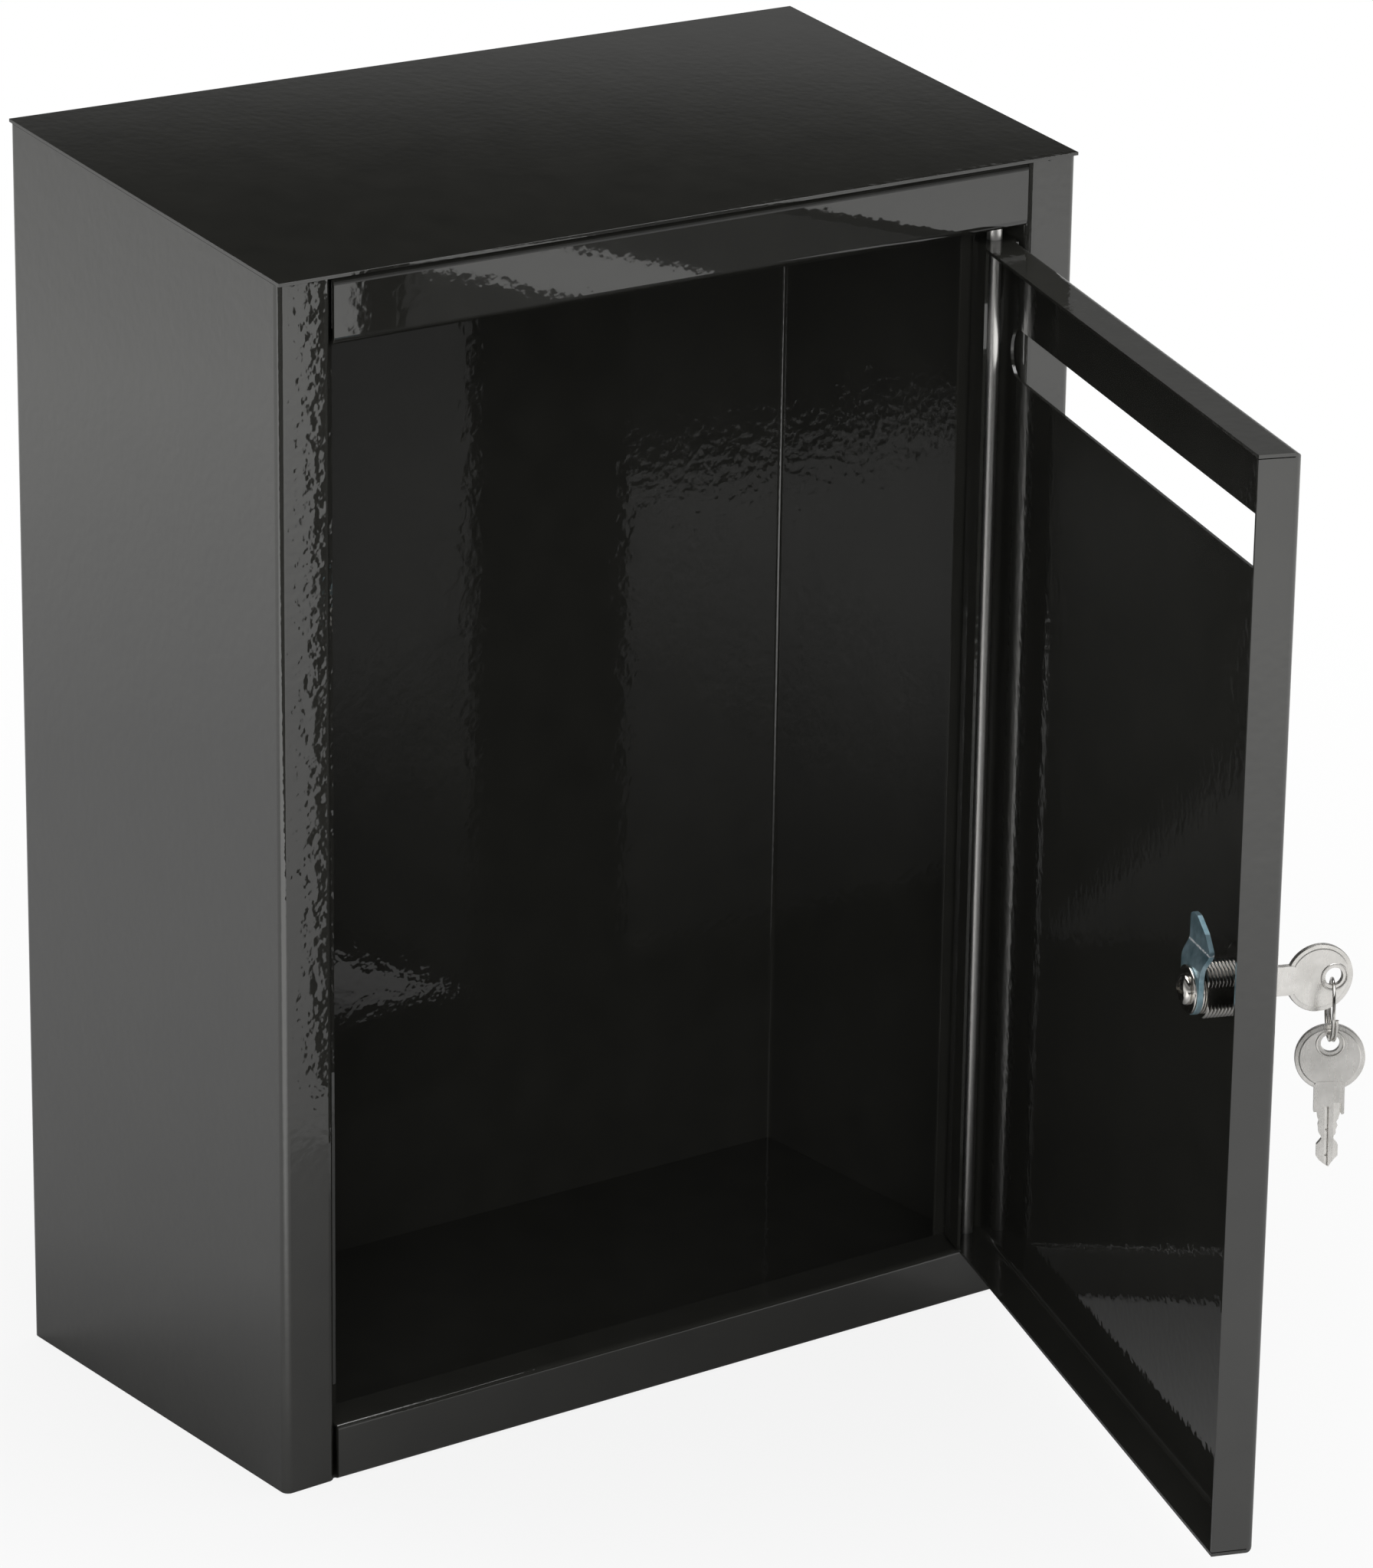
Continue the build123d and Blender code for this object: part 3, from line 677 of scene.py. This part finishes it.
def hinge_pin():
    """Bare steel rod with turned-off ends."""
    low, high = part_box("hinge_rod")
    rod = round_bar("hinge_pin", ROD_RADIUS, low[2] / MM, high[2] / MM, (PIVOT.x, PIVOT.y), 64)
    soften(rod, 0.45, 2, 60)
    smooth(rod, 50)
    dress(rod, steel, "cabinet", "bare_steel", "hinge_rod")


# Door, made lying down: x from the hinge to the free edge, y up, z inward


def letter_slot_tool():
    """The slot's shape: a block with a round end on each side."""
    start, end, middle = SLOT_START + SLOT_HALF, SLOT_END - SLOT_HALF, DOOR_HIGH - SLOT_DROP
    tool = block("slot_tool", (start, middle - SLOT_HALF, -2), (end, middle + SLOT_HALF, 3))
    for x in (start, end):
        weld(tool, round_bar("slot_end", SLOT_HALF, -2, 3, (x, middle), 48))
    return tool


def hinge_curl():
    """Sheet curled round the rod, from the flat lip inside to the door's face."""
    steps, middle, radius = 16, DOOR_DEEP / 2, DOOR_DEEP / 2 - HALF_SHEET
    low = DOOR_LOW + 0.5
    line = [(12, low, DOOR_DEEP - HALF_SHEET)]
    for step in range(steps + 1):
        angle = math.radians(90 + 180 * step / steps)
        line.append((radius * math.cos(angle), low, middle + radius * math.sin(angle)))
    line.append((4, low, HALF_SHEET))
    return folded_sheet("door_curl", line, (0, DOOR_HIGH - DOOR_LOW - 1, 0), SHEET, 0)


def door_sheet():
    """Pan with three folded flanges, curled round the hinge rod on its fourth side."""
    pan = block("door_sheet", (0, DOOR_LOW, 0), (DOOR_REACH, DOOR_HIGH, DOOR_DEEP))
    edit(pan)
    pick_faces(pan, lambda normal: normal.z > 0.9 or normal.x < -0.9)
    bpy.ops.mesh.delete(type="FACE")
    bpy.ops.mesh.select_mode(type="EDGE")
    pick_edges(pan, lambda a, b: max(a.z, b.z) < 0.01 and max(a.x, b.x) >= 0.01)
    bpy.ops.mesh.bevel(offset=DOOR_BEND * MM, segments=6, affect="EDGES")
    leave()
    thicken(pan, SHEET, -1)
    middle = DOOR_DEEP / 2
    weld(pan, hinge_curl())
    for low in (DOOR_LOW, DOOR_HIGH - SHEET):
        weld(pan, round_bar("curl_end", middle, low, low + SHEET, (0, middle), 64, "Y"))
    cut(pan, round_bar("rod_bore", DOOR_BORE, DOOR_LOW - 2, DOOR_HIGH + 2, (0, middle), 48, "Y"))
    cut(pan, letter_slot_tool())
    cut(pan, round_bar("lock_hole", BODY_RADIUS + 0.15, -2, 3, (LOCK_REACH, LOCK_HIGH), 64))
    for low, high in ((DOOR_HIGH - 1.35, DOOR_HIGH - 1.05), (DOOR_LOW + 1.05, DOOR_LOW + 1.35)):
        cut(pan, block("corner_seam", (DOOR_REACH - 1.5, low, 2.4), (DOOR_REACH + 1, high, DOOR_DEEP + 1)))
    soften(pan, 0.16)
    smooth(pan)
    set_in(pan, DOOR_PLACE)
    dress(pan, coat, "door", "black_paint", "door_pan")


# Lock, made round its own axis: x along the door, y up, z inward from the door's outer face

BODY_RADIUS, BODY_CORE, BODY_END, FLAT_HALF = 9.0, 8.45, 16.5, 8.0
THREAD_PITCH = 1.1
PLUG_BORE, HEAD_BORE, HEAD_DEEP = 6.05, 7.55, 1.4
BEZEL = [
    (0, -3.4), (8.6, -3.4), (9.3, -3.25), (9.9, -2.9), (10.6, -1.2), (10.95, -0.6), (11, -0.25), (10.9, 0),
    (0, 0),
]
NUT_HALF, NUT_THICK = 11, 4
WASHER = BODY_END + 0.1
CAM_FACE = WASHER + 1.2
CAM_THICK, CAM_JOG, CAM_BEND = 1.5, 2.4, 1.3
CAM_HUB = 7.6
CAM_OUTLINE = [
    (-7.7, 21.7), (-2.2, 21.7), (4.6, 18.2), (9.6, 13.2), (7.6, 5.4), (7.6, 0), (5.4, -5.4), (0, -7.6),
    (-5.4, -5.4), (-7.6, 0),
]
SCREW_SEAT, SCREW_HEAD = CAM_FACE + 2.5, 2.3
SCREW = [
    (0, -5.2), (1.7, -5.2), (1.95, -4.9), (1.95, 0), (4.4, 0), (4.62, 0.2), (4.65, 0.6), (4.4, 1.15),
    (3.9, 1.6), (3.1, 1.98), (2.1, 2.2), (1.0, 2.29), (0, SCREW_HEAD),
]


def helical_thread(name, core, crest, low, high, pitch):
    """A row of teeth turned once round while it climbs one pitch, closed at both ends."""
    teeth = []
    height = low - pitch
    while height < high + pitch:
        for radius, share in ((core, 0), (core, 0.12), (crest, 0.45), (crest, 0.6)):
            teeth.append((radius, 0, height + share * pitch))
        height += pitch
    row = drawn_line(name, teeth)
    leave()
    climb = row.modifiers.new("climb", "SCREW")
    climb.axis = "Z"
    climb.angle = 2 * math.pi
    climb.screw_offset = pitch * MM
    climb.steps = climb.render_steps = 72
    climb.use_merge_vertices = True
    climb.merge_threshold = TINY
    apply_modifiers(row)
    edit(row, "EDGE")
    bpy.ops.mesh.select_all(action="SELECT")
    bpy.ops.mesh.remove_doubles(threshold=TINY)
    middle = (low + high) / 2
    for side in (-1, 1):
        mesh = bmesh.from_edit_mesh(row.data)
        bpy.ops.mesh.select_all(action="DESELECT")
        for edge in mesh.edges:
            height = (edge.verts[0].co.z + edge.verts[1].co.z) / 2 / MM
            edge.select = edge.is_boundary and (height - middle) * side > 0
        bmesh.update_edit_mesh(row.data)
        bpy.ops.mesh.edge_face_add()
    outward_normals()
    leave()
    return row


def fit_in_lock(piece, angle, finish, body, slot, stands_for):
    smooth(piece, angle)
    set_in(piece, LOCK_PLACE)
    dress(piece, finish, body, slot, stands_for)


def lock_body():
    """Bezel outside the door, and the threaded body with its two flats."""
    body = helical_thread("lock_body", BODY_CORE, BODY_RADIUS, 0, BODY_END, THREAD_PITCH)
    combine(body, block("body_flats", (-FLAT_HALF, -10, -0.5), (FLAT_HALF, 10, BODY_END)), "INTERSECT")
    weld(body, turned("bezel", BEZEL))
    cut(body, round_bar("plug_bore", PLUG_BORE, -5, 18, sides=72))
    cut(body, round_bar("head_bore", HEAD_BORE, -5, -HEAD_DEEP, sides=72))
    soften(body, 0.08, 2, 40)
    fit_in_lock(body, 35, nickel, "door", "nickel", "lock_housing")


def lock_hex_nut():
    """Hexagonal nut with its corners turned off on both faces."""
    corner = NUT_HALF / math.cos(math.radians(30))
    turns = [math.radians(60 * side) for side in range(6)]
    outline = [(corner * math.cos(turn), corner * math.sin(turn)) for turn in turns]
    low, high = SHEET, SHEET + NUT_THICK
    nut = cut_plate("lock_hex_nut", outline, low, high)
    profile = [(0, low), (11.2, low), (12.9, low + 0.9), (12.9, high - 0.9), (11.2, high), (0, high)]
    combine(nut, turned("nut_corners", profile), "INTERSECT")
    cut(nut, round_bar("nut_bore", BODY_RADIUS + 0.05, 0, 8, sides=72))
    soften(nut, 0.12, 2, 30)
    fit_in_lock(nut, 30, nickel, "door", "nickel", "lock_nut")


def turned_washer(name, stands_for, radius, bore, low, high):
    """A disc with rounded edges and a hole."""
    edge = 0.22
    half = [(0, 0), (radius - edge, 0), (radius - edge * 0.3, edge * 0.3), (radius, edge)]
    disc = turned(name, [(r, low + z) for r, z in half] + [(r, high - z) for r, z in reversed(half)])
    cut(disc, round_bar("washer_bore", bore, low - 1, high + 1, sides=48))
    fit_in_lock(disc, 35, nickel, "plug", "nickel", stands_for)


def rounded(corners, radius, steps=6):
    """The outline's points, with each corner turned into an arc."""
    line = []
    count = len(corners)
    for index, corner in enumerate(corners):
        here = Vector(corner)
        back = Vector(corners[index - 1]) - here
        ahead = Vector(corners[(index + 1) % count]) - here
        half = back.angle(ahead) / 2
        reach = min(radius / math.tan(half), back.length * 0.49, ahead.length * 0.49)
        size = reach * math.tan(half)
        back, ahead = back.normalized(), ahead.normalized()
        centre = here + (back + ahead).normalized() * (size / math.sin(half))
        first = here + back * reach - centre
        last = here + ahead * reach - centre
        sweep = math.atan2(first.x * last.y - first.y * last.x, first.dot(last))
        for step in range(steps + 1):
            turn = sweep * step / steps
            x = centre.x + first.x * math.cos(turn) - first.y * math.sin(turn)
            y = centre.y + first.x * math.sin(turn) + first.y * math.cos(turn)
            line.append((x, y))
    return line


def lock_cam():
    """Joggled zinc cam: sheet bent to its side view and cut to its outline, with rolled edges."""
    low, high, half_wide = CAM_FACE, CAM_FACE + CAM_THICK, 12
    middle = (low + high) / 2
    side_view = [(-9, middle), (8.8, middle), (13.1, middle - CAM_JOG), (24, middle - CAM_JOG)]
    cam = folded_sheet(
        "lock_cam", [(-half_wide, y, z) for y, z in side_view], (2 * half_wide, 0, 0), CAM_THICK, CAM_BEND
    )
    combine(cam, cut_plate("cam_outline", rounded(CAM_OUTLINE, 2.4), low - 6, high + 6), "INTERSECT")
    weld(cam, turned("cam_hub", [(0, low), (CAM_HUB, low), (CAM_HUB, high), (0, high)]))
    cut(cam, round_bar("cam_bore", 2.2, low - 1, high + 1, sides=40))
    soften(cam, 0.3, 3, 45)
    fit_in_lock(cam, 35, cam_zinc, "plug", "blue_zinc", "cam")


def lock_screw():
    """Pan-head screw with a cross recess."""
    top = SCREW_SEAT + SCREW_HEAD
    screw = turned("lock_screw", [(radius, SCREW_SEAT + height) for radius, height in SCREW])
    narrow, wide, deep = 0.5, 3.2, 1.2
    for x, y in ((narrow, wide), (wide, narrow)):
        cut(screw, block("recess_arm", (-x, -y, top - deep), (x, y, top + 1)))
    soften(screw, 0.09, 2, 40)
    fit_in_lock(screw, 35, nickel, "plug", "nickel", "cam_screw")


# Keys: x from the bow's centre to the tip, y across the blade, z through the key

BOW = [(0, -1.0), (8.9, -1.0), (9.2, -0.86), (10.25, -0.8), (10.4, -0.66)]
COLLAR_HALF, BLADE_HALF = 1.1, 0.95
COLLAR = [
    (7.4, -3.5), (8.4, -4.5), (17.0, -4.5), (17.0, -3.3), (16.2, -3.3), (16.2, 3.35), (17.4, 3.35),
    (17.7, 3.6), (17.8, 3.9), (17.7, 4.25), (17.4, 4.5), (8.4, 4.5), (7.4, 3.5),
]
BLADE = [
    (9, -3.4), (17.6, -3.45), (18.9, -3.3), (20.0, -2.85), (21.2, -3.15), (22.4, -3.0), (23.5, -2.9),
    (24.7, -2.2), (25.6, -2.0), (26.5, -2.7), (27.4, -3.5), (31.0, -3.5), (32.2, -2.7), (33.4, -1.3),
    (34.3, -0.2), (34.3, 0.2), (33.0, 1.0), (31.8, 2.0), (30.9, 2.9), (27.6, 2.9), (26.5, 2.0),
    (25.6, 1.45), (24.7, 1.6), (23.7, 2.25), (22.6, 2.15), (21.5, 2.7), (20.3, 2.2), (19.4, 2.8),
    (17.6, 3.3), (9, 3.3),
]
FLUTE = [(-1.25, 0.97), (-0.05, 0.45), (0.02, 1.4), (-1.25, 1.4)]
FLANK = [(1.3, 0.97), (3.6, 0.5), (3.6, 1.4), (1.3, 1.4)]
KEY_BEYOND = 36
EYE_BACK, EYE_RADIUS, EYELET_RADIUS, EYELET_BEAD, EYELET_INSIDE = 4.5, 2.8, 4.0, 0.34, 3.75
KEY_DRAWN = 20.9

RING_HEADING = math.radians(36.6)
RING_ALONG = Vector((-math.sin(RING_HEADING), -math.cos(RING_HEADING), 0))
RING_ACROSS = Vector((math.cos(RING_HEADING), -math.sin(RING_HEADING), 0))
RING_CENTRE = Vector((72.93, -294.93, 181.35))
RING_TURNS, RING_RADIUS, RING_PITCH, WIRE_RADIUS = 1.5, 9.1, 1.06, 0.5
SPARE_TILT = math.radians(1.4)
SPARE_DOWN = RING_ACROSS * math.sin(SPARE_TILT) - UP * math.cos(SPARE_TILT)
SPARE_HOLE = Vector((72.93, -294.93, 170.9))


def bar_along(name, section, start):
    """A bar with its section in y and z, running along x from start past the key's tip."""
    bar = cut_plate(name, section, start, KEY_BEYOND)
    set_in(bar, place_from((0, 0, 0), (0, 1, 0), (0, 0, 1), (1, 0, 0)))
    return bar


def key_face(key, side):
    """One face's flute, flank, eyelet and two dimples."""
    for name, section, start in (("flute", FLUTE, 15.3), ("flank", FLANK, 14.1)):
        cut(key, bar_along(name, [(y * side, z * side) for y, z in section], start))
    bpy.ops.object.select_all(action="DESELECT")
    bpy.ops.mesh.primitive_torus_add(
        major_radius=EYELET_RADIUS * MM, minor_radius=EYELET_BEAD * MM, major_segments=72, minor_segments=12,
        location=(-EYE_BACK * MM, 0, 0.93 * side * MM),
    )
    weld(key, started("eyelet"))
    low, high = sorted((0.82 * side, 2.0 * side))
    cut(key, round_bar("eyelet_floor", EYELET_INSIDE, low, high, (-EYE_BACK, 0), 72))
    for x in (22.6, 30.7):
        cut(key, small_ball("dimple", 0.42, (x, -0.6 * side, 0.75 * side), 20, 12))


def stamped_key(name, body, stands_for, place):
    """Round bow with a coined rim and an eyelet, a collar with a prong, and a notched, grooved blade."""
    key = turned(name, BOW + [(radius, -height) for radius, height in reversed(BOW)], 128)
    weld(key, cut_plate("collar", COLLAR, -COLLAR_HALF, COLLAR_HALF))
    weld(key, cut_plate("blade", BLADE, -BLADE_HALF, BLADE_HALF))
    for side in (-1, 1):
        key_face(key, side)
    cut(key, round_bar("ring_hole", EYE_RADIUS, -3, 3, (-EYE_BACK, 0), 72))
    soften(key, 0.07, 2, 50)
    smooth(key, 30)
    set_in(key, place)
    dress(key, key_nickel, body, "nickel", stands_for)


def both_keys():
    bow = PIVOT + ALONG * LOCK_REACH - INWARD * (DOOR_DEEP / 2 + KEY_DRAWN) + UP * LOCK_HIGH
    stamped_key("lock_key", "working_key", "key", place_from(bow, INWARD, -UP, ALONG))
    bow = SPARE_HOLE + SPARE_DOWN * EYE_BACK
    hanging = place_from(bow, SPARE_DOWN, RING_ALONG.cross(SPARE_DOWN), RING_ALONG)
    stamped_key("second_key", "hanging_key", "spare_key", hanging)


def wire_ring():
    """Split ring: a line extruded on in short steps round it, thickened to a wire with rounded ends."""
    steps = 96

    def spot(step):
        angle = math.pi + 2 * math.pi * step / steps
        round_it = (RING_ALONG * math.cos(angle) + UP * math.sin(angle)) * RING_RADIUS
        return (RING_CENTRE + round_it + RING_ACROSS * (RING_PITCH * (step / steps - RING_TURNS / 2))) * MM

    ring = first_point("wire_ring", (0, 0, 0))
    bpy.ops.transform.translate(value=spot(0))
    for step in range(int(RING_TURNS * steps)):
        extruded(spot(step + 1) - spot(step))
    leave()
    take(ring)
    bpy.ops.object.convert(target="CURVE")
    ring = bpy.context.object
    ring.data.bevel_depth = WIRE_RADIUS * MM
    ring.data.bevel_resolution = 6
    ring.data.use_fill_caps = True
    bpy.ops.object.convert(target="MESH")
    ring = bpy.context.object
    ring.name = ring.data.name = "wire_ring"
    edit(ring)
    bpy.ops.mesh.select_all(action="SELECT")
    bpy.ops.mesh.remove_doubles(threshold=TINY)
    outward_normals()
    leave()
    soften(ring, 0.18, 3, 60)
    smooth(ring, 50)
    dress(ring, nickel, "ring", "nickel", "split_ring")


cabinet_shell()
cabinet_lid()
cabinet_floor()
door_sheet()
lock_body()
lock_hex_nut()
turned_washer("stop_disc", "cam_stop_washer", 7.6, 4.1, WASHER, CAM_FACE)
lock_cam()
turned_washer("screw_disc", "cam_lock_washer", 7.3, 2.1, CAM_FACE + CAM_THICK, SCREW_SEAT)
lock_screw()
both_keys()
wire_ring()
hinge_pin()


# Studio, in metres

# Painted shade on the floor: its greys rise from FLOOR_NEAR to FLOOR_FAR of its middle, darkest near the
# object
FLOOR_NEAR, FLOOR_FAR = 0.1, 1.3
PAINTED_SHADE_GREYS = [
    (0.0, (0.2, 0.2, 0.2)), (0.125, (0.35, 0.35, 0.35)), (0.54, (0.43, 0.43, 0.43)),
    (1.0, (0.66, 0.66, 0.65)),
]
# A painted pool of light at the floor's front left starts and is full at these distances along each axis
PAINTED_LIGHT_TONE = (0.92, 0.92, 0.91, 1)
PAINTED_LIGHT_CORNER = (("X", -0.12, -0.3), ("Y", -0.1, -0.24))
# The camera sees a share of white at WHITE_NEAR and nothing else from WHITE_FAR
WHITE_NEAR, WHITE_FAR, WHITE_SHARE = 0.15, 0.9, 0.88
# The world's even light, what the camera sees of it, and the mirrored room's greys over the height
FILL, SEEN_WHITE = 0.8, 1.0
ROOM_GREYS = [(0.0, 0.6), (0.24, 0.14), (0.39, 0.25)]
ROOM_EDGE = [(0.522, 1), (0.5285, 0.7), (0.532, 0.4), (0.536, 0.2), (0.54, 0.08), (0.548, 0.02)]
ROOM_EDGE_LEAN = 0.2


def flat_sheet(name, low, high, height):
    """A level rectangle for the studio."""
    bpy.ops.object.select_all(action="DESELECT")
    middle = ((low[0] + high[0]) / 2, (low[1] + high[1]) / 2, height)
    bpy.ops.mesh.primitive_plane_add(size=1, location=middle)
    sheet = bpy.context.object
    sheet.name = name
    sheet.scale = (high[0] - low[0], high[1] - low[1], 1)
    bpy.ops.object.transform_apply(location=True, rotation=True, scale=True)
    return sheet


def studio_floor():
    """Matt white floor, greyer near the object as painted shade, but for a painted pool of light at its front
    left. The camera sees it nearly white.
    """
    floor = flat_sheet("studio_floor", (-6, -6), (6, 6), -0.0005)
    finish, tree, shader, place = new_finish("white_floor")
    shader.inputs["Roughness"].default_value = 0.9
    shader.inputs["Specular IOR Level"].default_value = 0.1
    length = tree.nodes.new("ShaderNodeVectorMath")
    length.operation = "LENGTH"
    tree.links.new(place, length.inputs[0])
    distance = length.outputs["Value"]
    # Painted shade: the floor's colour is greyer near the object
    paper = shades(tree, spread(tree, distance, 0, 1, FLOOR_NEAR, FLOOR_FAR), PAINTED_SHADE_GREYS)
    parts = sides_of(tree, place)
    # Painted pool of light: the floor's colour is paler at its front left
    corner = work_out(
        tree, "MULTIPLY", *(spread(tree, parts[axis], 0, 1, start, end) for axis, start, end in PAINTED_LIGHT_CORNER)
    )
    feed(tree, blend(tree, corner, paper, PAINTED_LIGHT_TONE), shader.inputs["Base Color"])
    seen = tree.nodes.new("ShaderNodeLightPath").outputs["Is Camera Ray"]
    share = work_out(tree, "MULTIPLY", seen, spread(tree, distance, WHITE_SHARE, 1, WHITE_NEAR, WHITE_FAR))
    white = tree.nodes.new("ShaderNodeEmission").outputs["Emission"]
    surface = choose(tree, share, shader.outputs["BSDF"], white)
    tree.links.new(surface, tree.nodes["Material Output"].inputs["Surface"])
    floor.data.materials.append(finish)


def studio_flag():
    """A dark cloth in front, out of the camera's view: it only darkens what the object mirrors."""
    flag = flat_sheet("studio_flag", (-1.89, -2.5), (-0.17, -0.62), 0.002)
    finish, tree, shader, place = new_finish("black_cloth")
    weave = greys(tree, grain(tree, place, 900, 2), [(0.3, 0.02), (0.7, 0.05)])
    feed(tree, weave, shader.inputs["Base Color"])
    shader.inputs["Roughness"].default_value = 0.95
    shader.inputs["Specular IOR Level"].default_value = 0.05
    flag.data.materials.append(finish)
    flag.visible_camera = False
    flag.visible_diffuse = False
    flag.visible_shadow = False


def soft_light(name, spot, target, size, watts):
    """A square soft light at a spot, turned to its target, with its side in metres."""
    lamp = bpy.data.lights.new(name, "AREA")
    lamp.shape = "SQUARE"
    lamp.size = size
    lamp.energy = watts
    lit = bpy.data.objects.new(name, lamp)
    lit.location = spot
    lit.rotation_euler = (Vector(target) - Vector(spot)).to_track_quat("-Z", "Y").to_euler()
    bpy.context.scene.collection.objects.link(lit)
    return lit


def studio_world():
    """White to the camera, a soft even fill for matt light, and a dark room in mirror images."""
    world = bpy.data.worlds.new("studio_world")
    bpy.context.scene.world = world
    world.use_nodes = True
    tree = world.node_tree
    fill = tree.nodes["Background"]
    white, room = tree.nodes.new("ShaderNodeBackground"), tree.nodes.new("ShaderNodeBackground")
    for background, strength in ((fill, FILL), (white, SEEN_WHITE)):
        background.inputs["Color"].default_value = (1, 1, 1, 1)
        background.inputs["Strength"].default_value = strength
    parts = sides_of(tree, tree.nodes.new("ShaderNodeTexCoord").outputs["Generated"])
    wall = greys(tree, parts["Z"], ROOM_GREYS)
    height = work_out(tree, "MULTIPLY_ADD", parts["X"], ROOM_EDGE_LEAN, parts["Z"])
    lit_wall = blend(tree, 1, wall, greys(tree, height, ROOM_EDGE), "MULTIPLY")
    tree.links.new(lit_wall, room.inputs["Color"])
    path = tree.nodes.new("ShaderNodeLightPath").outputs
    unseen = choose(tree, path["Is Glossy Ray"], fill.outputs[0], room.outputs[0])
    surface = choose(tree, path["Is Camera Ray"], unseen, white.outputs[0])
    tree.links.new(surface, tree.nodes["World Output"].inputs["Surface"])


studio_floor()
studio_flag()
soft_light("overhead_softbox", (0.6, 0.1, 2.2), (0, 0, 0.1), 2.4, 64)
front_fill = soft_light("front_fill", (-1.7, -2.3, 1.1), (0, -0.05, 0.2), 1.4, 60)
front_fill.visible_glossy = False
studio_world()

bpy.context.scene.view_settings.view_transform = "Standard"
